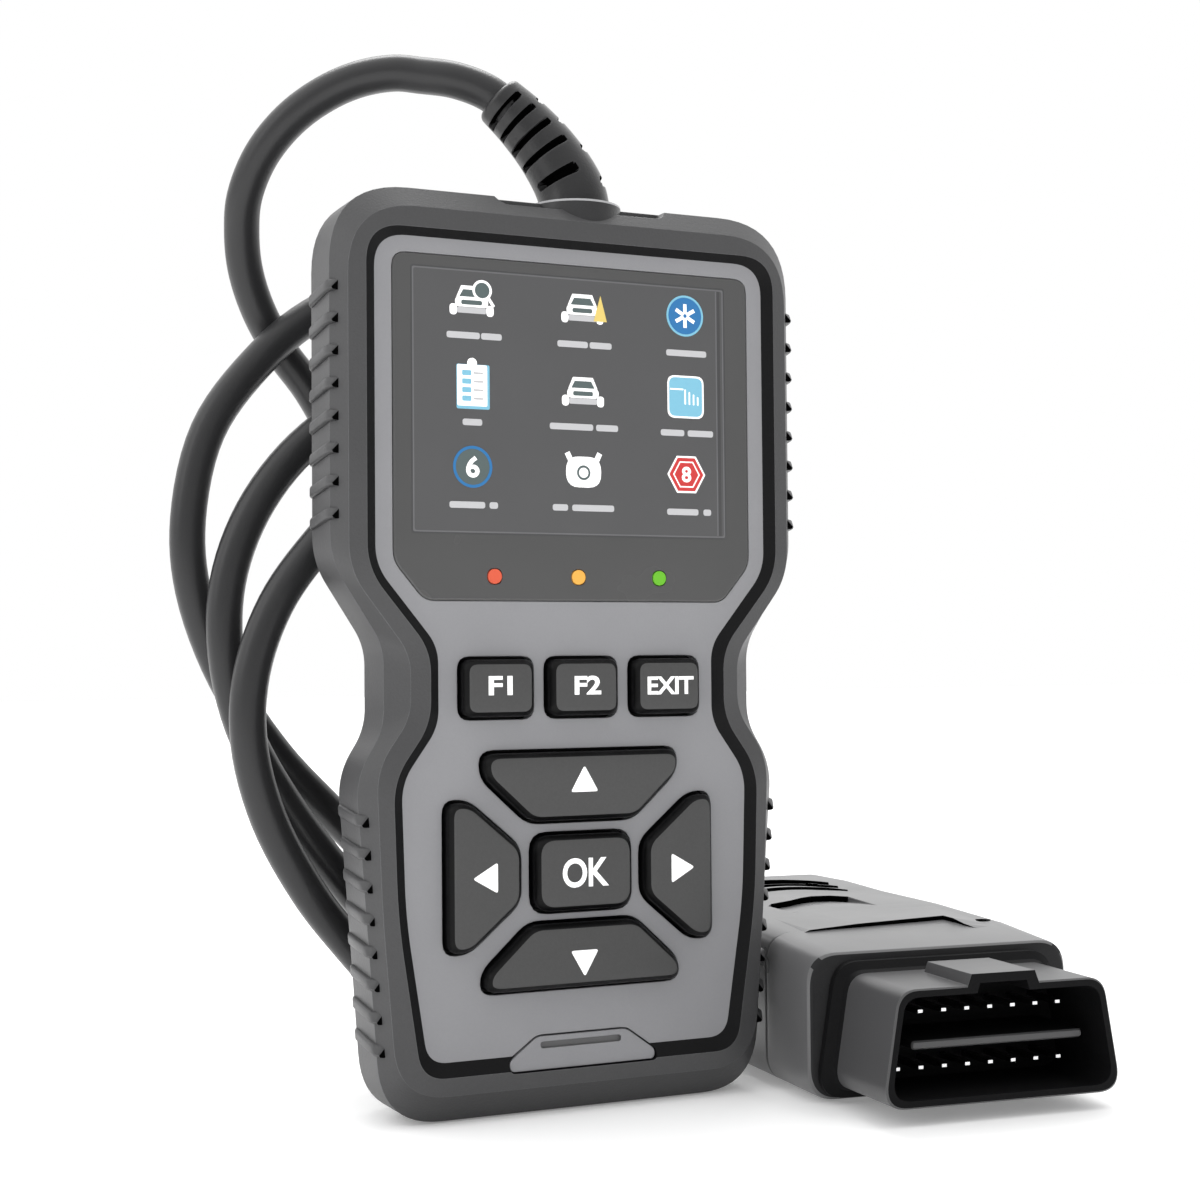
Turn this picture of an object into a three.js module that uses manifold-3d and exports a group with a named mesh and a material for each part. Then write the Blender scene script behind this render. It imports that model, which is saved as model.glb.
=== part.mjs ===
// Handheld OBD code reader: a scanner standing on its lower edge, its cord wound in three standing
// turns behind it, and its 16-pin diagnostic plug lying on the same surface.
// Frame: millimetres, +Z up, the screen faces -Y, +X is to the right of someone facing the screen.
// The origin is on the surface, below the middle of the scanner's box.
import * as THREE from "three";
import { mergeVertices } from "three/addons/utils/BufferGeometryUtils.js";
import Module from "manifold-3d";

const wasm = await Module();
wasm.setup();

// ---------------------------------------------------------------- driving dimensions

const GAP = 0.3; // between pieces that touch
const CORNER_STEPS = 4; // segments in each rounded corner

// Depths along Y, measured from the face of the grey front cover (y = 0) towards the back.
const RIM_FRONT = -1.2;
const RIM_OUTER = -0.4;
const SIDE_FRONT = 2.5;
const SIDE_BACK = 11.5;
const BUMPER_BACK = 17.5;
const SPLIT = 9; // where the front cover ends
const BACK_INSIDE = 18.5;
const BACK_FACE = 20.5;
const COVER_SKIN = 2;
const COVER_WALL = 1.6;

// Right halves of the outlines, from the bottom up: [x, z, corner size].
const PANEL_HALF = [
  [25, 9.4, 3],
  [28.3, 31, 5],
  [28.9, 51, 3],
  [23, 59.3, 2.5],
  [23, 71.4, 2.5],
  [32.8, 83.5, 3],
  [32.8, 133, 5],
];
const RIM_HALF = [
  [30, 4.2, 8],
  [32.2, 31, 5],
  [33.1, 53.2, 4],
  [27.7, 60.8, 3],
  [27.7, 70.1, 3],
  [37.2, 82.6, 4],
  [37.2, 137.6, 11],
];
const SIDE_HALF = [
  [31.6, 0, 9.5],
  [33.8, 31, 5],
  [35.4, 51.9, 4],
  [31, 59, 3],
  [31, 71.6, 3],
  [39.2, 84.4, 4],
  [39.2, 141, 12.5],
];
const LENS_HALF = [
  [25.2, 78.5, 1.5],
  [30, 84.3, 1.5],
  [30, 130.4, 2.2],
];

const BEVEL_WIDTH = 2;
const CAVITY_MARGIN = 2.2; // how far the covers reach under the bumper's inner lip
const DISPLAY = { width: 53, height: 40, x: -0.6, z: 108.6 };
const LENS_FRONT = -0.15;
const LENS_BACK = 1;
const LED_Z = 82;
const LED_X = [-14, 0, 14];
const LED_RADIUS = 1.15;

const KEY_PROUD = 2.2;
const KEY_BEVEL = 0.8;
const KEY_CLEARANCE = 0.5;
const KEY_FLANGE = 0.4; // how far a key reaches under the edge of its hole
const KEY_FLANGE_BACK = 3.3;
const PAD_Z = 36.6; // middle of the direction pad
const BOARD_BACK = 7.8;
const SCREW = { head: 2.1, shank: 0.9, pilot: 1.2, clearance: 1.3, counterbore: 2.5, boss: 2.2, post: 3.3 };
const SCREWS = [
  [30.4, 130.2],
  [26.4, 50.5],
  [22.3, 13],
].flatMap(([x, z]) => [[-x, z], [x, z]]);

const RIB_PROUD = 0.6;
const RIB_HEIGHT = 1.7;
const RIB_PITCH = 4.86;
const RIBS_PER_BANK = 8;
const RIB_SLANT = 0.12; // rise or fall of a rib per unit of depth, towards the scanner's middle
const UPPER_RIBS_FROM = 91.4;
const LOWER_RIBS_FROM = 11.3;

const EXIT = { x: 3, y: 7, top: 141.4 }; // the collar that the cord leaves through
const COLLAR_BASE = 134;
const COLLAR_FLOOR = 136.2;
const EXIT_BORE_RADIUS = 3.8;
const COLLAR_TOP_RADIUS = 7.4;
const COLLAR_BOTTOM_RADIUS = 6.7;
const RELIEF_BASE_RADIUS = 5.9;
const RELIEF_TIP_RADIUS = 4.1;
const CORD_RADIUS = 2.9;
const CORD_SIDES = 8;
const CORD_STEPS = 80;

// The plug's own frame: pin tips at y = 0, open end towards -Y, standing on z = 0.
const PLUG = { x: 55.2, y: -26.1, turn: -0.102 };
const PIN_PITCH = 4;
const PIN_ROW_SPACING = 8.5;
const PINS_PER_ROW = 8;
const PIN_Z = 11;
const SHROUD_RIM = -7.7;
const SHROUD_FLOOR = 8;
const SHROUD_WALL = 1.2;
const PLUG_FACE = 12;
const PLUG_SEAM = 28;
const PLUG_BACK = 97;
const PLUG_WALL = 2;
const PLUG_SPLIT_Z = 9;
const INSULATOR_BACK = 19;
const TONGUE = { width: 29.6, thickness: 1.5, front: -4.3 };
const KEY_RIDGE = { halfFoot: 6.8, halfTop: 5.4, foot: 18, top: 21.7, wall: 1.4 };
const SHELL_SECTIONS = [ // depth, half width, bottom, top
  [PLUG_SEAM, 23.2, 0, 24.3],
  [50, 23.2, 0, 25],
  [70, 22.6, 0, 25.2],
  [82, 21, 0.6, 26],
  [90, 18.5, 1.6, 26.4],
  [PLUG_BACK, 14.5, 3, 25.6],
];
const PLUG_SCREWS = [-16, 16].map((x) => [x, 60]);

// ---------------------------------------------------------------- geometry helpers

const symmetric = (half) => [...half, ...half.map(([x, z, r]) => [-x, z, r]).reverse()];
const box2 = (x, z, width, height, r) =>
  [[1, -1], [1, 1], [-1, 1], [-1, -1]].map(([i, j]) => [x + (i * width) / 2, z + (j * height) / 2, r]);

// Moves every edge of a counter-clockwise outline outwards by d.
function grow(points, d) {
  return points.map(([x, z, r], i) => {
    const [ax, az] = points.at(i - 1);
    const [bx, bz] = points[(i + 1) % points.length];
    const n1 = new THREE.Vector2(z - az, ax - x).normalize();
    const n2 = new THREE.Vector2(bz - z, x - bx).normalize();
    const s = d / (1 + n1.dot(n2));
    return [x + (n1.x + n2.x) * s, z + (n1.y + n2.y) * s, Math.max(r + d * 0.5, 0.4)];
  });
}

// A closed shape whose corners are rounded off by each point's third number.
function rounded(points) {
  const shape = new THREE.Shape();
  points.forEach(([x, z, r], i) => {
    const p = new THREE.Vector2(x, z);
    const towards = ([qx, qz]) => {
      const edge = new THREE.Vector2(qx - x, qz - z);
      return edge.setLength(Math.min(r, edge.length() * 0.48)).add(p);
    };
    const a = towards(points.at(i - 1));
    const b = towards(points[(i + 1) % points.length]);
    i ? shape.lineTo(a.x, a.y) : shape.moveTo(a.x, a.y);
    shape.quadraticCurveTo(x, z, b.x, b.y);
  });
  shape.closePath();
  return shape;
}

const flatShape = (points) => new THREE.Shape(points.map(([x, y]) => new THREE.Vector2(x, y)));
const circle = (x, z, radius) => new THREE.Shape().absarc(x, z, radius, 0, Math.PI * 2);

// A flat piece with the given shape in X and Z, between two depths.
function slab(shape, front, back, curveSegments = CORNER_STEPS) {
  const depth = back - front;
  return new THREE.ExtrudeGeometry(shape, { depth, bevelEnabled: false, curveSegments })
    .rotateX(Math.PI / 2)
    .translate(0, back, 0);
}
const slabOf = (points, front, back) => slab(rounded(points), front, back);
const rod = (x, z, radius, front, back, sides = 12) => slab(circle(x, z, radius), front, back, sides);
const block = (x0, x1, y0, y1, z0, z1) =>
  new THREE.BoxGeometry(x1 - x0, y1 - y0, z1 - z0)
    .translate((x0 + x1) / 2, (y0 + y1) / 2, (z0 + z1) / 2);

// A closed skin over rings of equally many points, capped with the given flat outline.
function skin(rings, cap) {
  const n = cap.length;
  const index = [];
  rings.slice(1).forEach((_, k) => {
    for (let i = 0; i < n; i++) {
      const [a, b] = [k * n + i, k * n + ((i + 1) % n)];
      index.push(a, a + n, b, b, a + n, b + n);
    }
  });
  const last = (rings.length - 1) * n;
  for (const [a, b, c] of THREE.ShapeUtils.triangulateShape(cap, [])) {
    index.push(a, b, c, last + a, last + c, last + b);
  }
  const geometry = new THREE.BufferGeometry().setFromPoints(rings.flat());
  geometry.setIndex(index);
  return geometry;
}

// Sections [y, outline] from front to back, joined corner by corner.
function loft(sections) {
  const flat = sections.map(([, points]) => {
    const outline = rounded(points).getPoints(CORNER_STEPS);
    return outline.at(0).distanceTo(outline.at(-1)) < 1e-6 ? outline.slice(0, -1) : outline;
  });
  const rings = flat.map((outline, k) =>
    outline.map((p) => new THREE.Vector3(p.x, sections[k][0], p.y)));
  return skin(rings, flat[0]);
}

// A round body along a curve, whose radius follows radiusAt(0..1).
function taperedTube(curve, radiusAt, steps, sides) {
  const { normals, binormals } = curve.computeFrenetFrames(steps, false);
  const cap = Array.from({ length: sides }, (_, i) => {
    const angle = (i / sides) * Math.PI * 2;
    return new THREE.Vector2(Math.cos(angle), Math.sin(angle));
  });
  const rings = normals.map((normal, k) => {
    const centre = curve.getPointAt(k / steps);
    const radius = radiusAt(k / steps);
    return cap.map((c) => centre.clone()
      .addScaledVector(normal, -c.x * radius)
      .addScaledVector(binormals[k], c.y * radius));
  });
  return skin(rings, cap);
}

// Turned about a vertical axis at x, y: profile [radius, z] from the bottom axis point up.
function turned(x, y, profile, sides = 24) {
  const points = profile.map(([r, z]) => new THREE.Vector2(r, z));
  return new THREE.LatheGeometry(points, sides).rotateX(Math.PI / 2).translate(x, y, 0);
}

const cylinder = (x, y, radius, z0, z1, sides) =>
  turned(x, y, [[0, z0], [radius, z0], [radius, z1], [0, z1]], sides);

function solid(geometry) {
  const bare = geometry.clone();
  bare.deleteAttribute("normal");
  bare.deleteAttribute("uv");
  const merged = mergeVertices(bare, 1e-4);
  const made = new wasm.Manifold(new wasm.Mesh({
    numProp: 3,
    vertProperties: merged.attributes.position.array,
    triVerts: new Uint32Array(merged.index.array),
  }));
  if (made.volume() <= 0) throw new Error("a solid is inside out");
  return made;
}

function geometryOf(manifold) {
  const mesh = manifold.getMesh();
  const geometry = new THREE.BufferGeometry();
  geometry.setAttribute("position", new THREE.BufferAttribute(mesh.vertProperties, 3));
  geometry.setIndex(new THREE.BufferAttribute(mesh.triVerts, 1));
  geometry.computeVertexNormals();
  return geometry;
}

const less = (body, cuts) => cuts.map(solid).reduce((a, b) => a.subtract(b), body);
const joined = (geometries) => geometries.map(solid).reduce((a, b) => a.add(b));

// The first geometries joined, less the second ones.
const carve = (bodies, cuts) => geometryOf(less(joined(bodies), cuts));

// ---------------------------------------------------------------- materials

const finish = (color, roughness, metalness = 0) => ({ color, roughness, metalness });
const RUBBER = finish(0x4a4a4c, 0.62);
const GREY_PLASTIC = finish(0x8f9092, 0.5);
const DARK_PLASTIC = finish(0x3c3c3e, 0.55);
const KEY_RUBBER = finish(0x4e4e50, 0.5);
const LENS = finish(0x505052, 0.15);
const CORD = finish(0x36363a, 0.45);
const STEEL = finish(0xb8b8b8, 0.35, 1);
const TIN = finish(0xd6d6d2, 0.25, 1);
const CIRCUIT = finish(0x1f5a38, 0.45);
const CHIP = finish(0x1a1a1c, 0.5);
const LABEL = finish(0xb4b4b2, 0.6);

const reader = new THREE.Group();
reader.position.y = (KEY_PROUD - BACK_FACE - 0.1) / 2; // the middle of the scanner's depth at y = 0
const plug = new THREE.Group();
plug.position.set(PLUG.x, PLUG.y, 0);
plug.rotation.z = PLUG.turn;
reader.add(plug);

function place(name, geometry, look, parent = reader) {
  const mesh = new THREE.Mesh(geometry, new THREE.MeshStandardMaterial(look));
  mesh.name = name;
  parent.add(mesh);
  return mesh;
}

// ---------------------------------------------------------------- outlines

const PANEL = symmetric(PANEL_HALF);
const SIDE = symmetric(SIDE_HALF);
const LENS_OUTLINE = symmetric(LENS_HALF);
const CAVITY = grow(PANEL, CAVITY_MARGIN);
const COVER = grow(CAVITY, -GAP);
const COVER_INSIDE = grow(COVER, -COVER_WALL);
const TAB = symmetric([[12.1, 6.9, 0.7], [12.3, 8.3, 0.7], [7.5, 11.8, 0.8]]);
const TAB_TILT = 0.12; // its lower edge stands forward, level with the bumper's rim
const TAB_DEPTH = 1;
const LABEL_OUTLINE = box2(0, 34, 36, 26, 1.5);

// ---------------------------------------------------------------- rubber bumper

// One grip rib on the right side wall, wrapped from the front chamfer to the rear edge.
function rib(z, wall, turn, slant) {
  const profile = [
    [-4, 3],
    [-1.6, 1.1],
    [0.2, 1.1],
    [RIB_PROUD, SIDE_FRONT - 0.3],
    [RIB_PROUD, SIDE_BACK - 0.4],
    [-0.6, SIDE_BACK + 1],
    [-4, SIDE_BACK + 1],
  ];
  return new THREE.ExtrudeGeometry(flatShape(profile), { depth: RIB_HEIGHT, bevelEnabled: false })
    .translate(0, 0, -RIB_HEIGHT / 2)
    .rotateY(turn)
    .applyMatrix4(new THREE.Matrix4().makeShear(0, 0, 0, slant, 0, 0))
    .translate(wall, 0, z);
}

// Both banks of ribs on the right side.
function sideRibs() {
  const [foot, waist, hip] = SIDE_HALF;
  const wallAt = (z) => {
    const [a, b] = z < waist[1] ? [foot, waist] : [waist, hip];
    return a[0] + ((b[0] - a[0]) * (z - a[1])) / (b[1] - a[1]);
  };
  const lean = Math.atan2(hip[0] - foot[0], hip[1] - foot[1]);
  return Array.from({ length: RIBS_PER_BANK }, (_, i) => {
    const upper = UPPER_RIBS_FROM + i * RIB_PITCH;
    const lower = LOWER_RIBS_FROM + i * RIB_PITCH;
    return [
      rib(upper, SIDE_HALF.at(-1)[0], 0, -RIB_SLANT),
      rib(lower, wallAt(lower), lean, RIB_SLANT),
    ];
  }).flat();
}

// A solid seen in a mirror across X = 0, with its corners turned round so that it still faces out.
function mirrorX(geometry) {
  const mirrored = geometry.clone();
  const p = mirrored.attributes.position;
  for (let i = 0; i < p.count; i += 3) {
    const corners = [0, 2, 1].map((k) =>
      new THREE.Vector3().fromBufferAttribute(geometry.attributes.position, i + k));
    corners.forEach((c, k) => p.setXYZ(i + k, -c.x, c.y, c.z));
  }
  return mirrored;
}

const TOP_RECESS = [[-14, 143], [-11.6, 139.6], [15.8, 139.6], [18.2, 143]];
const SLAB_START = -3; // in front of everything on the face

// The bore for the cord through the top walls.
const exitBore = () => cylinder(EXIT.x, EXIT.y, EXIT_BORE_RADIUS, 130, 140);

function bumper() {
  const ribs = sideRibs();
  const shell = loft([
    [RIM_FRONT, grow(PANEL, BEVEL_WIDTH)],
    [RIM_OUTER, symmetric(RIM_HALF)],
    [SIDE_FRONT, SIDE],
    [SIDE_BACK, SIDE],
    [BUMPER_BACK, grow(SIDE, -3)],
  ]);
  const collar = turned(EXIT.x, EXIT.y, [
    [0, COLLAR_BASE],
    [COLLAR_BOTTOM_RADIUS, COLLAR_BASE],
    [COLLAR_TOP_RADIUS, EXIT.top],
    [0, EXIT.top],
  ]);
  const opening = loft([
    [RIM_FRONT - 0.5, grow(PANEL, BEVEL_WIDTH + 0.5)],
    [RIM_FRONT, grow(PANEL, BEVEL_WIDTH)],
    [0, PANEL],
    [1, PANEL],
  ]);
  const recess = slab(flatShape(TOP_RECESS), SLAB_START, BUMPER_BACK + 1);
  const dipped = solid(shell).subtract(solid(recess));
  const body = [collar, ...ribs, ...ribs.map(mirrorX)].map(solid).reduce((a, b) => a.add(b), dipped);
  const cuts = [
    opening,
    slabOf(CAVITY, -GAP, BUMPER_BACK + 1),
    slabOf(grow(TAB, GAP), SLAB_START, TAB_DEPTH + GAP),
    cylinder(EXIT.x, EXIT.y, RELIEF_BASE_RADIUS + GAP, COLLAR_FLOOR, EXIT.top + 1),
    exitBore(),
  ];
  return geometryOf(less(body, cuts));
}

// ---------------------------------------------------------------- keys

const mirror2 = (points) => points.map(([x, z, r]) => [-x, z, r]).reverse();
const UP_KEY = [
  [9, 44.1, 2],
  [16.8, 51.3, 2],
  [16.8, 55.6, 2.4],
  [-16.8, 55.6, 2.4],
  [-16.8, 51.3, 2],
  [-9, 44.1, 2],
];
const DOWN_KEY = [
  [16.8, 18.6, 2.4],
  [16.8, 22.2, 2],
  [9, 29.4, 2],
  [-9, 29.4, 2],
  [-16.8, 22.2, 2],
  [-16.8, 18.6, 2.4],
];
const RIGHT_KEY = [
  [9.9, 32.3, 2],
  [18.6, 24.9, 2],
  [22.8, 24.9, 2.2],
  [22.8, 48.3, 2.2],
  [18.6, 48.3, 2],
  [9.9, 40.9, 2],
];
const KEY_HOLES = {
  key_f1: box2(-13.9, 65, 12.6, 9.7, 2),
  key_f2: box2(0.3, 65, 12.6, 9.7, 2),
  key_exit: box2(14.6, 65, 12.6, 9.7, 2),
  key_up: UP_KEY,
  key_down: DOWN_KEY,
  key_left: mirror2(RIGHT_KEY),
  key_right: RIGHT_KEY,
  key_ok: box2(0, PAD_Z, 17.4, 12.6, 3),
};

function key(hole) {
  const cap = grow(hole, -KEY_CLEARANCE);
  const flange = grow(hole, KEY_FLANGE);
  return loft([
    [-KEY_PROUD, grow(cap, -KEY_BEVEL)],
    [-KEY_PROUD + KEY_BEVEL, cap],
    [COVER_SKIN + GAP, cap],
    [COVER_SKIN + GAP, flange],
    [KEY_FLANGE_BACK, flange],
  ]);
}

// ---------------------------------------------------------------- covers, display and electronics

const displayBox = (margin) =>
  box2(DISPLAY.x, DISPLAY.z, DISPLAY.width + 2 * margin, DISPLAY.height + 2 * margin, 0.5);

function frontCover() {
  const body = slabOf(COVER, 0, SPLIT);
  const hollow = slabOf(COVER_INSIDE, COVER_SKIN, SPLIT + 1);
  const shell = solid(body).subtract(solid(hollow));
  const bosses = SCREWS.map(([x, z]) => solid(rod(x, z, SCREW.boss, COVER_SKIN - 0.5, SPLIT)));
  const cuts = [
    slabOf(grow(LENS_OUTLINE, GAP), SLAB_START, LENS_BACK + GAP),
    slabOf(displayBox(0.2), SLAB_START, COVER_SKIN + 1),
    slabOf(grow(TAB, GAP), SLAB_START, TAB_DEPTH + GAP),
    ...LED_X.map((x) => rod(x, LED_Z, LED_RADIUS + GAP, SLAB_START, COVER_SKIN + 1)),
    ...Object.values(KEY_HOLES).map((hole) => slabOf(hole, SLAB_START, COVER_SKIN + 1)),
    ...SCREWS.map(([x, z]) => rod(x, z, SCREW.pilot, 4, SPLIT + 1)),
    exitBore(),
  ];
  return geometryOf(less(bosses.reduce((a, b) => a.add(b), shell), cuts));
}

function rearCover() {
  const front = SPLIT + GAP;
  const body = loft([
    [front, COVER],
    [BACK_FACE - 1.6, COVER],
    [BACK_FACE, grow(COVER, -1.6)],
  ]);
  const shell = solid(body).subtract(solid(slabOf(COVER_INSIDE, SPLIT - 1, BACK_INSIDE)));
  const posts = SCREWS.map(([x, z]) => solid(rod(x, z, SCREW.post, front, BACK_FACE - 1)));
  const whole = posts.reduce((a, b) => a.add(b), shell).intersect(solid(body));
  const cuts = [
    ...SCREWS.map(([x, z]) => rod(x, z, SCREW.clearance, SPLIT - 1, BACK_FACE + 1)),
    ...SCREWS.map(([x, z]) => rod(x, z, SCREW.counterbore, BACK_FACE - 3, BACK_FACE + 1)),
    slabOf(grow(LABEL_OUTLINE, GAP), BACK_FACE - 0.5, BACK_FACE + 1),
    exitBore(),
  ];
  return geometryOf(less(whole, cuts));
}

// Head with a cross recess at the back, shank reaching into the front cover's boss.
function caseScrew(x, z) {
  const head = rod(x, z, SCREW.head, BACK_FACE - 2.6, BACK_FACE - 0.9);
  const shank = rod(x, z, SCREW.shank, 5, BACK_FACE - 2, 8);
  const slot = (w, h) => block(x - w, x + w, BACK_FACE - 1.6, BACK_FACE, z - h, z + h);
  return carve([head, shank], [slot(1.3, 0.25), slot(0.25, 1.3)]);
}

function mainBoard() {
  const outline = solid(slabOf(grow(COVER_INSIDE, -0.8), 6.2, BOARD_BACK));
  const kept = outline.intersect(solid(block(-40, 40, 0, BACK_FACE, 11, 130.5)));
  return geometryOf(less(kept, SCREWS.map(([x, z]) => rod(x, z, 3, 0, BACK_FACE))));
}

place("rubber_bumper", bumper(), RUBBER);
place("front_cover", frontCover(), GREY_PLASTIC);
place("rear_cover", rearCover(), DARK_PLASTIC);
place("display_lens", carve([slabOf(LENS_OUTLINE, LENS_FRONT, LENS_BACK)],
  LED_X.map((x) => rod(x, LED_Z, LED_RADIUS + GAP, -1, COVER_SKIN))), LENS);
place("lcd_glass", slabOf(displayBox(0.7), COVER_SKIN + 0.4, 4), CHIP);
place("lcd_tray", carve([slabOf(displayBox(0.7), 4 + GAP, 5.9)],
  [slabOf(displayBox(-2), 5, 7)]), STEEL);
place("main_board", mainBoard(), CIRCUIT);
place("keypad_mat", slabOf(box2(0, 44.5, 45, 57, 1.5), 4.5, 5.5), KEY_RUBBER);
const ON_BOARD = BOARD_BACK + GAP;
place("processor_chip", block(-7, 7, ON_BOARD, ON_BOARD + 1.5, 93, 107), CHIP);
place("transceiver_chip", block(6, 14, ON_BOARD, ON_BOARD + 1.7, 40, 46), CHIP);
place("buzzer", rod(-12, 40, 5, ON_BOARD, ON_BOARD + 4.5), CHIP);
place("cable_header", carve([block(-3, 9, ON_BOARD, ON_BOARD + 5.4, 112, 117)],
  [block(-2, 8, ON_BOARD + 1.1, ON_BOARD + 4.3, 114, 118)]), LABEL);
const tabFront = block(-20, 20, -5, 0, -8, 3).rotateX(-TAB_TILT).translate(0, 0, 11.8);
place("bottom_tab", carve([slabOf(TAB, -1.2, TAB_DEPTH)],
  [tabFront, slabOf(box2(-0.2, 10.3, 13.6, 1.1, 0.35), SLAB_START, 0.6)]), GREY_PLASTIC);
place("rear_label", slabOf(LABEL_OUTLINE, BACK_FACE - 0.2, BACK_FACE + 0.1), LABEL);

Object.entries(KEY_HOLES).forEach(([name, hole]) => place(name, key(hole), KEY_RUBBER));
["red", "amber", "green"].forEach((name, i) =>
  place(`light_guide_${name}`, rod(LED_X[i], LED_Z, LED_RADIUS, LENS_FRONT - 0.1, 3.6),
    finish([0xe26c54, 0xfabe60, 0x7cc842][i], 0.3)));
SCREWS.forEach(([x, z], i) => place(`case_screw_${i + 1}`, caseScrew(x, z), STEEL));

// ---------------------------------------------------------------- strain relief and cord

const vectors = (points) => points.map((p) => new THREE.Vector3(...p));
const RELIEF_ROUTE = [
  [EXIT.x, EXIT.y, 136.5],
  [EXIT.x, EXIT.y, 141],
  [2.4, 7.3, 144.4],
  [-0.4, 8.6, 149.9],
  [-4.1, 10.3, 154.9],
  [-8.2, 12, 159.2],
];

function strainRelief() {
  const curve = new THREE.CatmullRomCurve3(vectors(RELIEF_ROUTE), false, "centripetal");
  const radiusAt = (t) => THREE.MathUtils.lerp(RELIEF_BASE_RADIUS, RELIEF_TIP_RADIUS, t ** 1.2);
  const sleeve = taperedTube(curve, radiusAt, 14, 20);
  const neck = turned(EXIT.x, EXIT.y, [[0, 131.4], [4.4, 131.4], [4.4, 132.8], [3.4, 132.8],
    [3.4, 137], [0, 137]], 20);
  return carve([sleeve, neck], []);
}

place("strain_relief", strainRelief(), DARK_PLASTIC);

// The cord's route. It leaves the strain relief, falls on the left and goes down behind the
// scanner; then each turn rests its foot on the surface, rises on the right behind the scanner and
// comes over to the left, one step further back each time; the tail lies round into the plug.
const TURN_TOP_RIGHT = [
  [18.25, 6.5],
  [27.4, 15.6],
  [30.9, 28.6],
  [30.4, 44],
  [30, 57],
  [30, 72],
];
const rise = (y) => TURN_TOP_RIGHT.map(([x, z]) => [x, y, z]);
const CORD_ROUTE = [
  [-9.1, 12.5, 159.9], [-14.2, 14.8, 162.2], [-19, 18, 163.3], [-22.6, 20, 163.8],
  [-27.5, 23, 163.1], [-32.4, 26, 160.9], [-37.4, 29, 156.9], [-41.2, 32.5, 151.5],
  [-43, 36, 145.4], [-42.7, 39, 140.5], [-41.5, 41.5, 134.8], [-38.8, 43.8, 128.7],
  [-34.6, 45.6, 122.4], [-29, 46, 115.5], [-24.4, 45.5, 107], [-21.5, 43, 96],
  [-20.3, 38, 82], [-20, 32, 66], [-20, 26.5, 48], [-20, 24.3, 30],
  // first turn
  [-16.6, 24, 15.9], [-7.25, 24, 6.5], [5.5, 24, 3.1], ...rise(24),
  [26, 24, 85], [17.5, 24, 95.5], [6.5, 24, 101.5], [-6, 24, 103], [-18, 24.3, 100.3], [-27.5, 24.7, 94.8],
  [-34.7, 25, 87.4], [-41.1, 25, 78.4], [-45, 25, 67.6], [-45.5, 25, 56.8], [-42.3, 25.3, 44.7],
  [-35.7, 26, 32.8], [-29.3, 27.5, 24.8],
  // second turn
  [-21, 30.2, 16.2], [-10, 31, 8], [2, 31, 3.3], [8, 31, 3.3], ...rise(31),
  [27.4, 31, 87], [20, 31, 101], [9, 31, 111.5], [-4.5, 31, 116.6], [-19, 31.5, 114.6],
  [-33, 32, 105.8], [-41.8, 32, 95.4], [-46.6, 32, 83.9], [-47.5, 32, 72.7], [-44.6, 32, 59],
  [-37.6, 32, 46.2], [-28, 32.5, 33.7],
  // third turn
  [-18.5, 35.5, 23.3], [-8.5, 37.8, 12.8], [1, 38, 5.5], [9, 38, 3.5], ...rise(38),
  [27.8, 38, 90], [21.5, 38, 107], [12, 38, 121.5], [-1, 38, 131.8], [-16, 38.5, 133.8],
  [-30.8, 39, 127.1], [-40.4, 39, 118.5], [-48.4, 39, 107.1], [-51.7, 39, 92.6], [-50.9, 39, 81],
  [-45.7, 39, 66.8], [-37.2, 39, 54], [-27.5, 40, 44],
  // tail
  [-18.5, 43, 35.5], [-11.5, 49, 27], [-6.5, 57.5, 18.5], [-3, 68, 11], [-0.5, 80, 5.8],
  [1, 92, 3.4], [4.5, 104.5, 3.1], [11.5, 116, 3.1], [22, 124.5, 3.1], [34.5, 128.5, 3.1],
  [47, 127.3, 3.3], [58, 121, 4.6], [65, 112.5, 7], [67.9, 103.5, 9.6], [68.1, 97.5, 10.8],
  [67.3, 91.8, 11],
];

function cord() {
  const curve = new THREE.CatmullRomCurve3(vectors(CORD_ROUTE), false, "centripetal");
  const section = new THREE.Shape(Array.from({ length: CORD_SIDES }, (_, i) => {
    const angle = ((i + 0.5) / CORD_SIDES) * Math.PI * 2;
    return new THREE.Vector2(Math.cos(angle), Math.sin(angle)).multiplyScalar(CORD_RADIUS);
  }));
  return new THREE.ExtrudeGeometry(section, { steps: CORD_STEPS, extrudePath: curve });
}

// A strap round the three rising strands, beside the scanner's waist.
const TIE = { x: 30, y: 31, z: 64.5, width: 10, strap: 1 };
function cordTie() {
  const [w, d] = [2 * (CORD_RADIUS + GAP), 14 + 2 * (CORD_RADIUS + GAP)];
  const ring = (margin, height) => {
    const outline = rounded(box2(TIE.x, TIE.y, w + margin, d + margin, 2.4 + margin / 2));
    return new THREE.ExtrudeGeometry(outline, { depth: height, bevelEnabled: false })
      .translate(0, 0, TIE.z - height / 2);
  };
  return carve([ring(2 * TIE.strap, TIE.width)], [ring(0, TIE.width + 2)]);
}

place("cord", cord(), CORD);
place("cord_tie", cordTie(), RUBBER);

// ---------------------------------------------------------------- diagnostic plug

const RIM = symmetric([[20.4, 2.4, 4], [17.5, 20, 3]]);
const PIN_PLACES = [-1, 1].flatMap((row) => Array.from({ length: PINS_PER_ROW }, (_, i) =>
  [(i - (PINS_PER_ROW - 1) / 2) * PIN_PITCH, PIN_Z + (row * PIN_ROW_SPACING) / 2]));
const plugOutline = (halfWidth, bottom, top, r = 5) =>
  symmetric([[halfWidth, bottom, r], [halfWidth, top, r]]);
const turnedAlong = (profile, sides) => // about the plug's long axis: profile [radius, depth]
  new THREE.LatheGeometry(profile.map(([r, y]) => new THREE.Vector2(r, y)), sides).translate(0, 0, PIN_Z);

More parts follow.
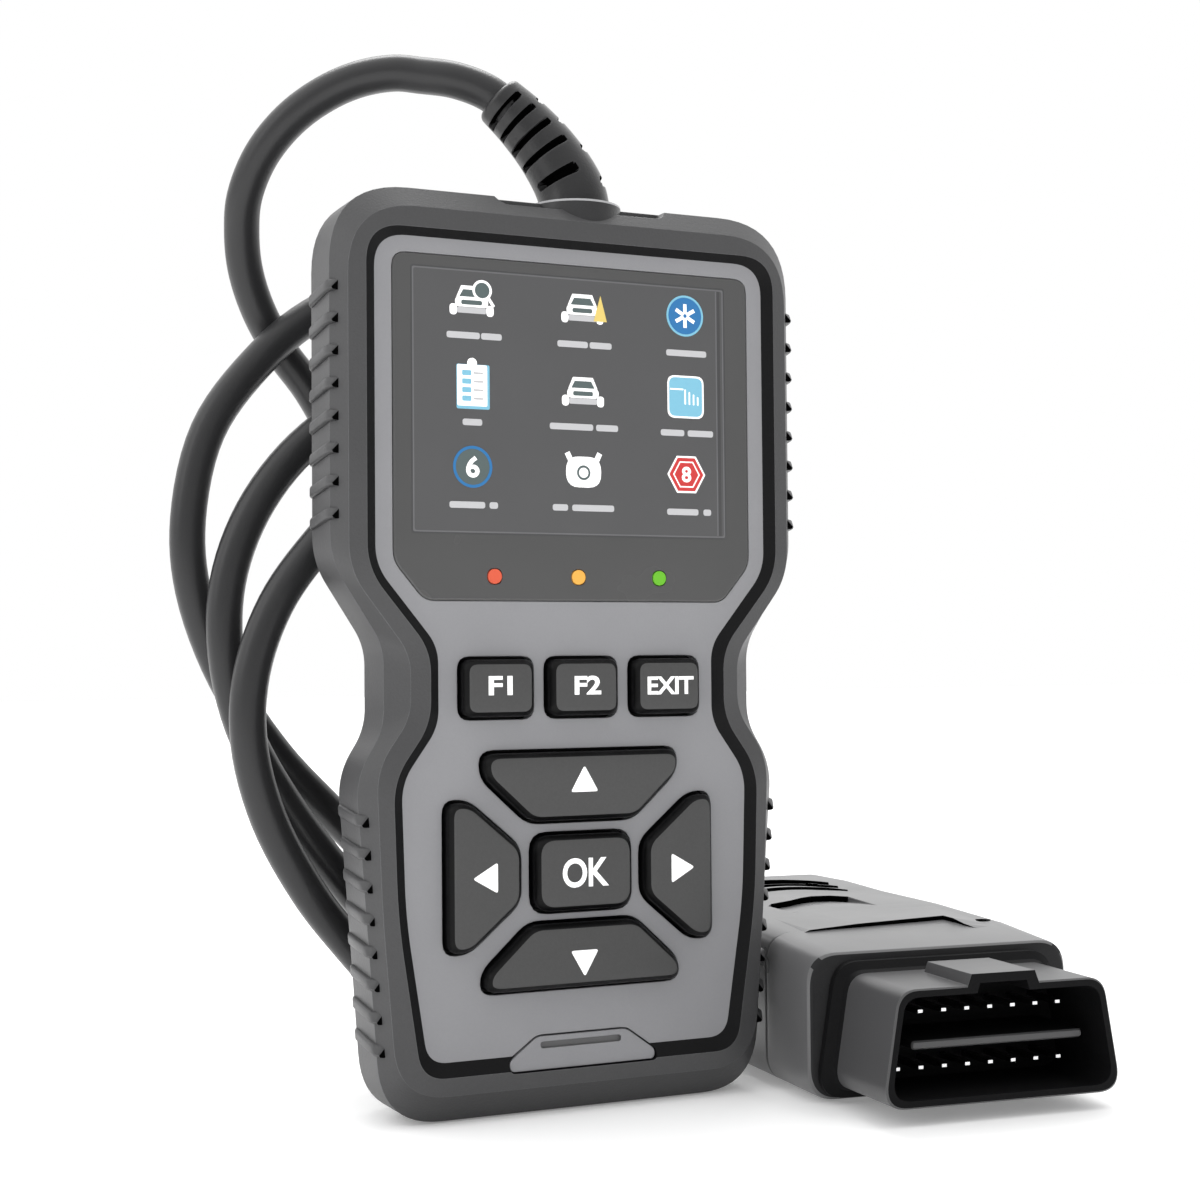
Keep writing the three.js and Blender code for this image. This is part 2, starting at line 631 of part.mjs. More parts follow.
function connectorShroud() {
  const { halfFoot, halfTop, foot, top, wall } = KEY_RIDGE;
  const ridge = (inset, z0, z1) => flatShape([
    [halfFoot - inset, z0],
    [halfTop - inset, z1],
    [inset - halfTop, z1],
    [inset - halfFoot, z0],
  ]);
  const bodies = [
    slabOf(RIM, SHROUD_RIM, PLUG_FACE - GAP),
    loft([[8.5, grow(RIM, -0.2)], [10.4, grow(RIM, 1.7)], [PLUG_FACE - GAP, grow(RIM, 1.7)]]),
    slab(ridge(0, foot, top), SHROUD_RIM, 6),
    block(-16, 16, PLUG_FACE - 1, INSULATOR_BACK, 4.5, 17.5),
  ];
  const pinSlot = ([x, z]) =>
    block(x - 0.95, x + 0.95, SHROUD_FLOOR - 1, INSULATOR_BACK + 1, z - 0.7, z + 0.7);
  const cuts = [
    slabOf(grow(RIM, -SHROUD_WALL), SHROUD_RIM - 1, SHROUD_FLOOR),
    slab(ridge(wall, foot - 2, top - wall), SHROUD_RIM - 1, 5),
    ...PIN_PLACES.map(pinSlot),
  ];
  const tongue = box2(0, PIN_Z, TONGUE.width, TONGUE.thickness, 0.6);
  return geometryOf(less(joined(bodies), cuts).add(solid(slabOf(tongue, TONGUE.front, SHROUD_FLOOR + 0.5))));
}

// A flat pin with a tapered tip.
function pin([x, z]) {
  const rectangle = (y, w, h) =>
    [[w, -h], [w, h], [-w, h], [-w, -h]].map(([i, j]) => new THREE.Vector3(x + i, y, z + j));
  const cap = rectangle(0, 1, 1).map((p) => new THREE.Vector2(p.x, p.z));
  const back = INSULATOR_BACK + 2;
  return skin([rectangle(0, 0.4, 0.2), rectangle(1, 0.6, 0.35), rectangle(back, 0.6, 0.35)], cap);
}

function plugFrontCap() {
  const [, halfWidth, , seamTop] = SHELL_SECTIONS[0];
  const outside = loft([
    [PLUG_FACE, plugOutline(halfWidth - 0.7, 0.7, 22.3)],
    [PLUG_FACE + 0.7, plugOutline(halfWidth, 0, 23)],
    [PLUG_SEAM - GAP, plugOutline(halfWidth, 0, seamTop)],
  ]);
  const inner = halfWidth - PLUG_WALL;
  const inside = loft([
    [PLUG_FACE + 2.5, plugOutline(inner, PLUG_WALL, 23 - PLUG_WALL, 3)],
    [PLUG_SEAM + 1, plugOutline(inner, PLUG_WALL, seamTop - PLUG_WALL, 3)],
  ]);
  return carve([outside], [inside, block(-16.3, 16.3, PLUG_FACE - 1, PLUG_FACE + 3, 4.2, 17.8)]);
}

// Both halves of the grip in one: walls, screw posts and the cord's bore.
function plugShell() {
  const sections = (wall) => SHELL_SECTIONS.map(([y, halfWidth, bottom, top]) => [
    y - (y > PLUG_SEAM ? wall : wall / 4),
    plugOutline(halfWidth - wall, bottom + wall, top - wall, 5 - wall / 2),
  ]);
  const walls = less(solid(loft(sections(0))), [loft(sections(PLUG_WALL))]);
  const posts = PLUG_SCREWS.map(([x, y]) => solid(cylinder(x, y, 3, 0.1, 24, 12)));
  const cuts = [
    turnedAlong([[0, PLUG_BACK - 10], [4.2, PLUG_BACK - 10], [4.2, PLUG_BACK + 10], [0, PLUG_BACK + 10]], 16),
    ...PLUG_SCREWS.map(([x, y]) => cylinder(x, y, 2.6, -1, 2.7, 12)),
    ...PLUG_SCREWS.map(([x, y]) => cylinder(x, y, 1.3, 2, 18, 12)),
  ];
  return less(posts.reduce((a, b) => a.add(b), walls), cuts);
}

const plugScrew = ([x, y]) =>
  turned(x, y, [[0, 0.9], [2.2, 0.9], [2.2, 2.3], [1, 2.3], [1, 16], [0, 16]], 12);
const plugRelief = () => turnedAlong([
  [0, PLUG_BACK - 5],
  [5.2, PLUG_BACK - 5],
  [5.2, PLUG_BACK - 3.4],
  [3.9, PLUG_BACK - 3.4],
  [3.9, PLUG_BACK + 0.5],
  [6.2, PLUG_BACK + 0.5],
  [6.2, PLUG_BACK + 4],
  [4.3, PLUG_BACK + 21],
  [0, PLUG_BACK + 21],
], 20);

const shell = plugShell();
const halfSpace = (z0, z1) => solid(block(-40, 40, 0, 120, z0, z1));
place("connector_shroud", connectorShroud(), DARK_PLASTIC, plug);
PIN_PLACES.forEach((spot, i) => place(`plug_pin_${String(i + 1).padStart(2, "0")}`, pin(spot), TIN, plug));
place("plug_front_cap", plugFrontCap(), DARK_PLASTIC, plug);
const topShell = shell.intersect(halfSpace(PLUG_SPLIT_Z + GAP, 60));
const bottomShell = shell.intersect(halfSpace(-5, PLUG_SPLIT_Z));
place("plug_top_shell", geometryOf(topShell), DARK_PLASTIC, plug);
place("plug_bottom_shell", geometryOf(bottomShell), DARK_PLASTIC, plug);
place("plug_board", block(-12, 12, INSULATOR_BACK + 2.3, 80, 10.2, 11.8), CIRCUIT, plug);
place("plug_strain_relief", plugRelief(), DARK_PLASTIC, plug);
PLUG_SCREWS.forEach((spot, i) => place(`plug_screw_${i + 1}`, plugScrew(spot), STEEL, plug));

const root = new THREE.Group(); // the part's own frame, in which the scanner stands centred
root.add(reader);
export default root;
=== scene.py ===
import math

import bmesh
import bpy
from mathutils import Matrix, Vector


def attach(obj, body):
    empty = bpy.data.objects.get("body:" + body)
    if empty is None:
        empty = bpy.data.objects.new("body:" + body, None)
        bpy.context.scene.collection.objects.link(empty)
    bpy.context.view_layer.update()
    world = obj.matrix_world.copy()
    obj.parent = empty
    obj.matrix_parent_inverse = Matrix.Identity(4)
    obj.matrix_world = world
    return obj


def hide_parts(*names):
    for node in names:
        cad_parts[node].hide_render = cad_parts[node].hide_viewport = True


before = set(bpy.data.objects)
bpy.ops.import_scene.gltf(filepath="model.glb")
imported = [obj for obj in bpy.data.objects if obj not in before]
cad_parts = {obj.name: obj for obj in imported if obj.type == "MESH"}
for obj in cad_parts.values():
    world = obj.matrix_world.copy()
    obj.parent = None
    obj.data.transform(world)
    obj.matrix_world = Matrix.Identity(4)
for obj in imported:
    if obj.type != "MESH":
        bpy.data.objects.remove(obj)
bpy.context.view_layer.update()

# Looks of the handheld OBD code reader. Lengths below are millimetres in the CAD's own drawing:
# X to the right, Z up, Y towards the back from the face of the grey cover. at() turns them into
# the row's metres.
MM = 0.001
DEPTH_SHIFT = -9.2


def at(x, y, z):
    return Vector((x, y + DEPTH_SHIFT, z)) * MM


# ---------------------------------------------------------------- camera, light and floor

scene = bpy.context.scene
CAMERA_AT = (-128.05, -282.53, 68.45)
AZIMUTH, ELEVATION, ROLL = (math.radians(a) for a in (-25, -1.848, -0.486))
FOCAL_LENGTH = 60
SENSOR_WIDTH = 36
CLIP_NEAR, CLIP_FAR = 0.01, 20  # metres


def make_camera():
    back = Vector((
        math.sin(AZIMUTH) * math.cos(ELEVATION),
        -math.cos(AZIMUTH) * math.cos(ELEVATION),
        math.sin(ELEVATION),
    ))
    right = Vector((0, 0, 1)).cross(back).normalized()
    up = back.cross(right)
    turned_right = right * math.cos(ROLL) + up * math.sin(ROLL)
    turned_up = up * math.cos(ROLL) - right * math.sin(ROLL)
    data = bpy.data.cameras.new("camera")
    data.lens = FOCAL_LENGTH
    data.sensor_width = SENSOR_WIDTH
    data.clip_start = CLIP_NEAR
    data.clip_end = CLIP_FAR
    camera = bpy.data.objects.new("camera", data)
    scene.collection.objects.link(camera)
    camera.matrix_world = Matrix.Translation(at(*CAMERA_AT)) @ Matrix(
        (turned_right, turned_up, back)).transposed().to_4x4()
    scene.camera = camera


def area_light(name, place, target, size, power):
    """A rectangular lamp that faces its target; metres and watts."""
    data = bpy.data.lights.new(name, "AREA")
    data.shape = "RECTANGLE"
    data.size, data.size_y = size
    data.energy = power
    light = bpy.data.objects.new(name, data)
    scene.collection.objects.link(light)
    light.location = place
    aim = Vector(target) - Vector(place)
    light.rotation_euler = aim.to_track_quat("-Z", "Y").to_euler()
    return light


# How the light grows along each axis: the coordinates it changes between, and its levels there.
LIGHT_LEVELS = [
    ("Y", (-0.6, 0.4), (0.25, 1.0)),
    ("X", (0.2, -0.9), (0.0, 0.2)),
    ("Z", (0.1, 0.9), (0.0, 0.8)),
]
SEEN_LEVEL = 1.0


def ranged(tree, value, before, after):
    """The value's range before, mapped onto the range after and held inside it."""
    made = tree.nodes.new("ShaderNodeMapRange")
    made.inputs["From Min"].default_value, made.inputs["From Max"].default_value = before
    made.inputs["To Min"].default_value, made.inputs["To Max"].default_value = after
    tree.links.new(value, made.inputs["Value"])
    return made.outputs["Result"]


def calculated(tree, operation, first, second):
    made = tree.nodes.new("ShaderNodeMath")
    made.operation = operation
    tree.links.new(first, made.inputs[0])
    tree.links.new(second, made.inputs[1])
    return made.outputs[0]


def make_world():
    """White to the camera; as light, bright from above and behind and dimmer from the front."""
    world = bpy.data.worlds.new("studio")
    scene.world = world
    world.use_nodes = True
    tree = world.node_tree
    link = tree.links.new
    background = tree.nodes["Background"]
    background.inputs["Color"].default_value = (1, 1, 1, 1)
    place = tree.nodes.new("ShaderNodeTexCoord")
    axes = tree.nodes.new("ShaderNodeSeparateXYZ")
    link(place.outputs["Generated"], axes.inputs[0])
    levels = [ranged(tree, axes.outputs[axis], span, level) for axis, span, level in LIGHT_LEVELS]
    total = levels[0]
    for level in levels[1:]:
        total = calculated(tree, "ADD", total, level)
    rays = tree.nodes.new("ShaderNodeLightPath")
    shown = tree.nodes.new("ShaderNodeMix")
    link(rays.outputs["Is Camera Ray"], shown.inputs["Factor"])
    link(total, shown.inputs[2])
    shown.inputs[3].default_value = SEEN_LEVEL
    link(shown.outputs[0], background.inputs["Strength"])


FLOOR_SIZE = 8  # metres
FLOOR_DROP = 0.0003
FLOOR_SHADE = 0.95
FLOOR_GLOW = 0.2


def make_studio():
    make_world()
    scene.view_settings.view_transform = "Standard"
    area_light("left_light", (-0.8, -0.1, 0.5), (0, 0, 0.07), (0.2, 0.6), 0.6)
    area_light("top_light", (0.1, 0.35, 0.8), (0, 0, 0.05), (0.5, 0.3), 2.5)
    bpy.ops.mesh.primitive_plane_add(size=FLOOR_SIZE)
    floor = bpy.context.object
    floor.name = "floor"
    floor.location.z = -FLOOR_DROP
    floor.data.materials.append(floor_material())


# ---------------------------------------------------------------- materials

# Of every surface: size of its clouds and grains, the noise's usual span, how far the gloss
# wanders, and how much the rounded normal has to differ for the pale edge colour (rubbing and
# painted highlight) to show.
CLOUD_SIZE = 14
GRAIN_SIZE = 0.35
NOISE_SPAN = (0.15, 0.85)
GLOSS_SPREAD = 0.05
EDGE_SPAN = (0.995, 0.92)
# Normal heights across which faces turned down are darkened with painted shade.
UNDERSIDE_SHADE_SPAN = (-0.3, -0.7)


def node(tree, kind, **inputs):
    made = tree.nodes.new(kind)
    for key, value in inputs.items():
        made.inputs[key.replace("_", " ")].default_value = value
    return made


def mixed(tree, blend, factor, first, second):
    """A colour mix; each of the three is a value or another node's output."""
    made = tree.nodes.new("ShaderNodeMix")
    made.data_type = "RGBA"
    made.blend_type = blend
    sockets = (made.inputs["Factor"], made.inputs[6], made.inputs[7])
    for socket, value in zip(sockets, (factor, first, second)):
        if isinstance(value, bpy.types.NodeSocket):
            tree.links.new(value, socket)
        else:
            socket.default_value = value
    return made.outputs[2]


def shaded(colour):
    """A screen colour from 0 to 255 as the shader's linear one."""
    linear = [((c / 255 + 0.055) / 1.055) ** 2.4 if c > 10 else c / 255 / 12.92 for c in colour]
    return (*linear, 1)


def floor_material():
    made = bpy.data.materials.new("floor_white")
    made.use_nodes = True
    shader = made.node_tree.nodes["Principled BSDF"]
    shader.inputs["Roughness"].default_value = 0.6
    shader.inputs["Base Color"].default_value = (FLOOR_SHADE, FLOOR_SHADE, FLOOR_SHADE, 1)
    shader.inputs["Specular IOR Level"].default_value = 0.0
    shader.inputs["Emission Color"].default_value = (1, 1, 1, 1)
    shader.inputs["Emission Strength"].default_value = FLOOR_GLOW
    return made


def surface(name, colour, roughness, *, cloud=0.05, grain=0.06, bump=0.04, wear_and_highlight=0.25, edge=0.25,
            metallic=0.0, specular=0.35, glow=0.0, edge_wear_and_highlight_colour=None, underside_shade=1.0):
    """A moulded or metal surface: cloudy and grainy colour, uneven gloss, fine bump, rounded edges
    paled by rubbing and by painted highlight, and faces turned down darkened with painted shade.
    Bump and edge are millimetres."""
    made = bpy.data.materials.new(name)
    made.use_nodes = True
    tree = made.node_tree
    link = tree.links.new
    shader = tree.nodes["Principled BSDF"]
    shader.inputs["Metallic"].default_value = metallic
    shader.inputs["Specular IOR Level"].default_value = specular
    shader.inputs["Emission Color"].default_value = shaded(colour)
    shader.inputs["Emission Strength"].default_value = glow
    place = tree.nodes.new("ShaderNodeTexCoord")
    clouds = node(tree, "ShaderNodeTexNoise", Scale=1 / (CLOUD_SIZE * MM), Detail=3.0)
    grains = node(tree, "ShaderNodeTexNoise", Scale=1 / (GRAIN_SIZE * MM), Detail=2.0)
    link(place.outputs["Object"], clouds.inputs["Vector"])
    link(place.outputs["Object"], grains.inputs["Vector"])

    def spread(noise, middle, reach):
        return ranged(tree, noise.outputs["Fac"], NOISE_SPAN, (middle - reach, middle + reach))

    mottle = calculated(tree, "MULTIPLY", spread(clouds, 1, cloud), spread(grains, 1, grain))
    base = mixed(tree, "MULTIPLY", 1, shaded(colour), mottle)
    rounded_edge = node(tree, "ShaderNodeBevel", Radius=edge * MM)
    rounded_edge.samples = 4
    geometry = tree.nodes.new("ShaderNodeNewGeometry")
    dot = tree.nodes.new("ShaderNodeVectorMath")
    dot.operation = "DOT_PRODUCT"
    link(rounded_edge.outputs["Normal"], dot.inputs[0])
    link(geometry.outputs["Normal"], dot.inputs[1])
    # Pale edges: rubbing, and painted highlight along creases and rims.
    worn_and_highlit = ranged(tree, dot.outputs["Value"], EDGE_SPAN, (0.0, wear_and_highlight))
    pale = edge_wear_and_highlight_colour or [min(255, c * 1.35 + 14) for c in colour]
    base = mixed(tree, "MIX", worn_and_highlit, base, shaded(pale))
    # Faces turned down are darkened: painted shade.
    if underside_shade < 1:
        down = tree.nodes.new("ShaderNodeSeparateXYZ")
        link(geometry.outputs["Normal"], down.inputs[0])
        shade = ranged(tree, down.outputs["Z"], UNDERSIDE_SHADE_SPAN, (1.0, underside_shade))
        base = mixed(tree, "MULTIPLY", 1, base, shade)
    link(base, shader.inputs["Base Color"])
    link(spread(clouds, roughness, GLOSS_SPREAD), shader.inputs["Roughness"])
    relief_bump = node(tree, "ShaderNodeBump", Strength=1.0, Distance=bump * MM)
    link(grains.outputs["Fac"], relief_bump.inputs["Height"])
    link(rounded_edge.outputs["Normal"], relief_bump.inputs["Normal"])
    link(relief_bump.outputs["Normal"], shader.inputs["Normal"])
    return made


def flat_print(name, colour, glow=0.3):
    """Even ink and lit lenses, with a little glow; on the pin tips, a glowing painted highlight."""
    return surface(name, colour, 0.5, cloud=0.01, grain=0.0, bump=0.0, wear_and_highlight=0.0, specular=0.2,
                   glow=glow)


LOOKS = {
    # The bumper's edge colour paints highlights on its creases; its faces turned down get painted
    # shade.
    "bumper": surface("bumper_rubber", (76, 76, 77), 0.42, wear_and_highlight=0.7, edge=0.18, specular=0.3,
                      edge_wear_and_highlight_colour=(134, 134, 136), underside_shade=0.5),
    # The collar rubber is darker than the bumper's: painted shade on its crescent.
    "collar": surface("collar_rubber_shaded", (50, 50, 51), 0.35, wear_and_highlight=0.3, edge=0.2, specular=0.4),
    # A painted highlight for the collar's top edge.
    "collar_rim_highlight": surface("collar_rim_highlight", (178, 178, 180), 0.35, wear_and_highlight=0.0),
    # The bumper's inner slope and the gap round the tab, darkened as painted shade.
    "groove": surface("bumper_groove_shade", (20, 20, 21), 0.5, wear_and_highlight=0.0, specular=0.12),
    "cover": surface("grey_cover", (150, 150, 153), 0.42, grain=0.02, bump=0.015, wear_and_highlight=0.1),
    "plastic": surface("dark_plastic", (80, 80, 82), 0.42, wear_and_highlight=0.3),
    "plug": surface("plug_plastic", (102, 102, 103), 0.3, cloud=0.03, grain=0.02, bump=0.01,
                    wear_and_highlight=0.3, specular=0.5),
    # The plug's front-facing faces, darker than its plastic as painted shade.
    "plug_face_shade": surface("plug_face_shade", (44, 44, 45), 0.5, wear_and_highlight=0.3, edge=0.15, specular=0.15),
    # The shroud's pale edges are painted highlight on the rim.
    "shroud": surface("shroud_plastic", (76, 76, 77), 0.34, cloud=0.03, grain=0.02, bump=0.01,
                      wear_and_highlight=0.6, edge=0.15, specular=0.4),
    "lens": surface("lens_smoke", (87, 87, 87), 0.25, cloud=0.02, grain=0.0, bump=0.0, wear_and_highlight=0.4,
                    edge=0.15),
    "screen": surface("screen_glow", (90, 90, 91), 0.35, cloud=0.02, grain=0.0, bump=0.0,
                      wear_and_highlight=0.0),
    "screen_line": surface("screen_line", (112, 112, 114), 0.4, grain=0.0, bump=0.0, wear_and_highlight=0.0),
    "screen_dark": surface("screen_dark", (76, 76, 77), 0.4, grain=0.0, bump=0.0, wear_and_highlight=0.0),
    "key_face": surface("key_face", (79, 79, 79), 0.42, wear_and_highlight=0.3, bump=0.02, specular=0.25),
    "key_side": surface("key_side", (10, 10, 11), 0.35, wear_and_highlight=0.0, specular=0.15),
    "print": flat_print("white_print", (255, 255, 255)),
    "caption": flat_print("caption_print", (196, 196, 198), 0.12),
    "cord": surface("cord_jacket", (46, 46, 47), 0.34, grain=0.04, bump=0.02, wear_and_highlight=0.0,
                    specular=0.4),
    "relief": surface("relief_rubber", (40, 40, 41), 0.3, wear_and_highlight=0.3, specular=0.45),
    # Near-black painted shadow for slots, step walls and hollows.
    "slot_dark": surface("slot_shadow", (6, 6, 6), 0.8, wear_and_highlight=0.0, specular=0.0),
    # The shroud's inside, rim face and tongue, near-black as painted shade.
    "cavity": surface("shroud_inside_shade", (20, 20, 21), 0.6, wear_and_highlight=0.3, edge=0.12, specular=0.08),
    # The pin tips are bright white with a glow: a painted highlight.
    "tip": flat_print("pin_tip_glint", (255, 255, 255), 0.6),
    "tin": surface("tin_plate", (110, 110, 108), 0.35, metallic=1.0, bump=0.005, wear_and_highlight=0.0),
    "zinc": surface("zinc_screw", (170, 170, 172), 0.35, metallic=1.0, bump=0.01, wear_and_highlight=0.2),
    "board": surface("circuit_board", (30, 90, 56), 0.4, grain=0.1),
    "chip": surface("chip_epoxy", (28, 28, 30), 0.5),
    "label": surface("label_film", (182, 182, 180), 0.45, grain=0.02, wear_and_highlight=0.1),
    "red": flat_print("light_red", (222, 98, 72), 0.1),
    "amber": flat_print("light_amber", (245, 180, 84), 0.1),
    "green": flat_print("light_green", (110, 190, 52), 0.1),
    "blue": flat_print("icon_blue", (56, 120, 176), 0.1),
    "pale_blue": flat_print("icon_pale_blue", (132, 194, 218), 0.1),
    "icon_red": flat_print("icon_red", (206, 66, 66), 0.1),
    "icon_grey": flat_print("icon_grey", (92, 104, 104), 0.1),
    "icon_yellow": flat_print("icon_yellow", (232, 206, 120), 0.1),
}

# ---------------------------------------------------------------- mesh helpers

HOUSING = "housing"


def symmetric(half):
    """A right half of (x, z, corner size) points and its mirror image on the left."""
    return [*half, *[(-x, z, r) for x, z, r in reversed(half)]]


def box2(x, z, width, height, r):
    """Outline of a rectangle about x, z with corner size r."""
    sides = [(1, -1), (1, 1), (-1, 1), (-1, -1)]
    return [(x + i * width / 2, z + j * height / 2, r) for i, j in sides]


def grow(points, d):
    """Moves every edge of a counter-clockwise outline outwards by d."""
    out = []
    for i, (x, z, r) in enumerate(points):
        ax, az, _ = points[i - 1]
        bx, bz, _ = points[(i + 1) % len(points)]
        n1 = Vector((z - az, ax - x)).normalized()
        n2 = Vector((bz - z, x - bx)).normalized()
        s = d / (1 + n1.dot(n2))
        out.append((x + (n1.x + n2.x) * s, z + (n1.y + n2.y) * s, max(r + d * 0.5, 0.4)))
    return out


def rounded(points, steps=8):
    """The outline's points with its corners rounded off."""
    out = []
    for i, (x, z, r) in enumerate(points):
        p = Vector((x, z))
        ends = []
        for qx, qz, _ in (points[i - 1], points[(i + 1) % len(points)]):
            edge = Vector((qx, qz)) - p
            ends.append(p + edge.normalized() * min(r, edge.length * 0.48))
        for k in range(steps + 1):
            t = k / steps
            out.append(ends[0] * (1 - t) ** 2 + p * (2 * t * (1 - t)) + ends[1] * t ** 2)
    return [(p.x, p.y) for p in out]


def disc(x, z, r, sides=40, turn=0.0):
    """Points round a circle, or round a regular shape with few sides."""
    angles = [turn + 2 * math.pi * k / sides for k in range(sides)]
    return [(x + r * math.cos(a), z + r * math.sin(a)) for a in angles]


def loft(sections, steps=8, ring=False):
    """Vertices and faces through (y, outline) sections; a ring closes on itself."""
    rings = [[(x, y, z) for x, z in rounded(points, steps)] for y, points in sections]
    return skin(rings, ring)


def skin(rings, ring=False):
    """Vertices and faces through rings of as many points each, capped unless they close."""
    n, m = len(rings[0]), len(rings)
    verts = [v for one in rings for v in one]
    faces = []
    for k in range(m if ring else m - 1):
        a, b = k * n, (k + 1) % m * n
        faces += [(a + i, a + (i + 1) % n, b + (i + 1) % n, b + i) for i in range(n)]
    if not ring:
        faces += [tuple(range(n)), tuple(range((m - 1) * n, m * n))]
    return verts, faces


def finish_piece(piece, *, smooth, replaces=(), body=HOUSING):
    """Puts a piece on its body; edges sharper than smooth degrees stay sharp."""
    if smooth:
        piece.data.shade_smooth()
        piece.data.set_sharp_from_angle(angle=math.radians(smooth))
    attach(piece, body)
    if replaces:
        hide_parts(*replaces)


def new_piece(name, looks, verts, faces, matrix=None):
    """A mesh from millimetre points; matrix places it in the drawing, such as the plug's."""
    mesh = bpy.data.meshes.new(name)
    points = [Vector(v) if matrix is None else matrix @ Vector(v) for v in verts]
    mesh.from_pydata([at(*p) for p in points], [], faces)
    built = bmesh.new()
    built.from_mesh(mesh)
    bmesh.ops.remove_doubles(built, verts=built.verts, dist=1e-7)
    bmesh.ops.recalc_face_normals(built, faces=built.faces)
    built.to_mesh(mesh)
    built.free()
    for look in looks:
        mesh.materials.append(LOOKS[look])
    piece = bpy.data.objects.new(name, mesh)
    scene.collection.objects.link(piece)
    return piece


def cut(piece, operation, verts, faces, matrix=None, look=0):
    """A boolean with a throwaway mesh, applied at once; its faces get the piece's look number."""
    tool = new_piece("tool", [], verts, faces, matrix)
    for material in piece.data.materials:
        tool.data.materials.append(material)
    for face in tool.data.polygons:
        face.material_index = look
    modifier = piece.modifiers.new("cut", "BOOLEAN")
    modifier.operation = operation
    modifier.object = tool
    modifier.solver = "EXACT"
    graph = bpy.context.evaluated_depsgraph_get()
    result = bpy.data.meshes.new_from_object(piece.evaluated_get(graph))
    piece.modifiers.remove(modifier)
    old = piece.data
    piece.data = result
    bpy.data.meshes.remove(old)
    bpy.data.objects.remove(tool)


def extruded(points, y0, y1, steps=6):
    """An outline drawn straight back from y0 to y1."""
    return loft([(y0, points), (y1, points)], steps)


def paint(piece, look, chosen, matrix=None):
    """Gives look number to the faces for which chosen(centre, normal) is true, in millimetres."""
    back = Matrix() if matrix is None else matrix.inverted()
    for face in piece.data.polygons:
        centre = Vector((face.center.x, face.center.y - DEPTH_SHIFT * MM, face.center.z)) / MM
        if chosen(back @ centre, back.to_3x3() @ face.normal):
            face.material_index = look


def turned(x, y, profile, sides=48):
    """Turned about a vertical axis at x, y: profile [(radius, z)] from the bottom up."""
    return skin([[(u, v, z) for u, v in disc(x, y, r, sides)] for r, z in profile])


def merged(parts):
    """Several (verts, faces) as one."""
    verts, faces = [], []
    for v, f in parts:
        offset = len(verts)
        verts += v
        faces += [tuple(i + offset for i in one) for one in f]
    return verts, faces


# ---------------------------------------------------------------- cord

TURN_RIGHT_SIDE = [(18.25, 6.5), (27.4, 15.6), (30.9, 28.6), (30.4, 44), (30, 57), (30, 72)]
CORD_EXIT = (-9.1, 12.5, 159.9)


def rise(y):
    """The right side of a standing turn, which the turns share, at a depth y."""
    return [(x, y, z) for x, z in TURN_RIGHT_SIDE]


# The exit loop, three standing turns behind the scanner and the tail to the plug.
CORD_ROUTE = [
    (-5.5, 10.9, 156.3), CORD_EXIT, (-14.2, 14.8, 162.2), (-19, 18, 163.3), (-22.6, 20, 163.8),
    (-27.5, 23, 163.1), (-32.4, 26, 160.9), (-37.4, 29, 156.9), (-41.2, 32.5, 151.5),
    (-43, 36, 145.4), (-42.7, 39, 140.5), (-41.5, 41.5, 134.8), (-38.8, 43.8, 128.7),
    (-34.6, 45.6, 122.4), (-29, 46, 115.5), (-24.4, 45.5, 107), (-21.5, 43, 96),
    (-20.3, 38, 82), (-20, 32, 66), (-20, 26.5, 48), (-20, 24.3, 30),
    (-16.6, 24, 15.9), (-7.25, 24, 6.5), (5.5, 24, 3.1), *rise(24),
    (26, 24, 85), (17.5, 24, 95.5), (6.5, 24, 101.5), (-6, 24, 103), (-18, 24.3, 100.3),
    (-27.5, 24.7, 94.8), (-34.7, 25, 87.4), (-41.1, 25, 78.4), (-45, 25, 67.6),
    (-45.5, 25, 56.8), (-42.3, 25.3, 44.7), (-35.7, 26, 32.8), (-29.3, 27.5, 24.8),
    (-21, 30.2, 16.2), (-10, 31, 8), (2, 31, 3.3), (8, 31, 3.3), *rise(31),
    (27.4, 31, 87), (20, 31, 101), (9, 31, 111.5), (-4.5, 31, 116.6), (-19, 31.5, 114.6),
    (-33, 32, 105.8), (-41.8, 32, 95.4), (-46.6, 32, 83.9), (-47.5, 32, 72.7), (-44.6, 32, 59),
    (-37.6, 32, 46.2), (-28, 32.5, 33.7),
    (-18.5, 35.5, 23.3), (-8.5, 37.8, 12.8), (1, 38, 5.5), (9, 38, 3.5), *rise(38),
    (27.8, 38, 90), (21.5, 38, 107), (12, 38, 121.5), (-1, 38, 131.8), (-16, 38.5, 133.8),
    (-30.8, 39, 127.1), (-40.4, 39, 118.5), (-48.4, 39, 107.1), (-51.7, 39, 92.6), (-50.9, 39, 81),
    (-45.7, 39, 66.8), (-37.2, 39, 54), (-27.5, 40, 44),
    (-18.5, 43, 35.5), (-11.5, 49, 27), (-6.5, 57.5, 18.5), (-3, 68, 11), (-0.5, 80, 5.8),
    (1, 92, 3.4), (4.5, 104.5, 3.1), (11.5, 116, 3.1), (22, 124.5, 3.1), (34.5, 128.5, 3.1),
    (47, 127.3, 3.3), (58, 121, 4.6), (65, 112.5, 7), (67.9, 103.5, 9.6), (68.1, 97.5, 10.8),
    (67.3, 91.8, 11), (66.7, 86.5, 11),
]
CORD_DIAMETER = 5.8


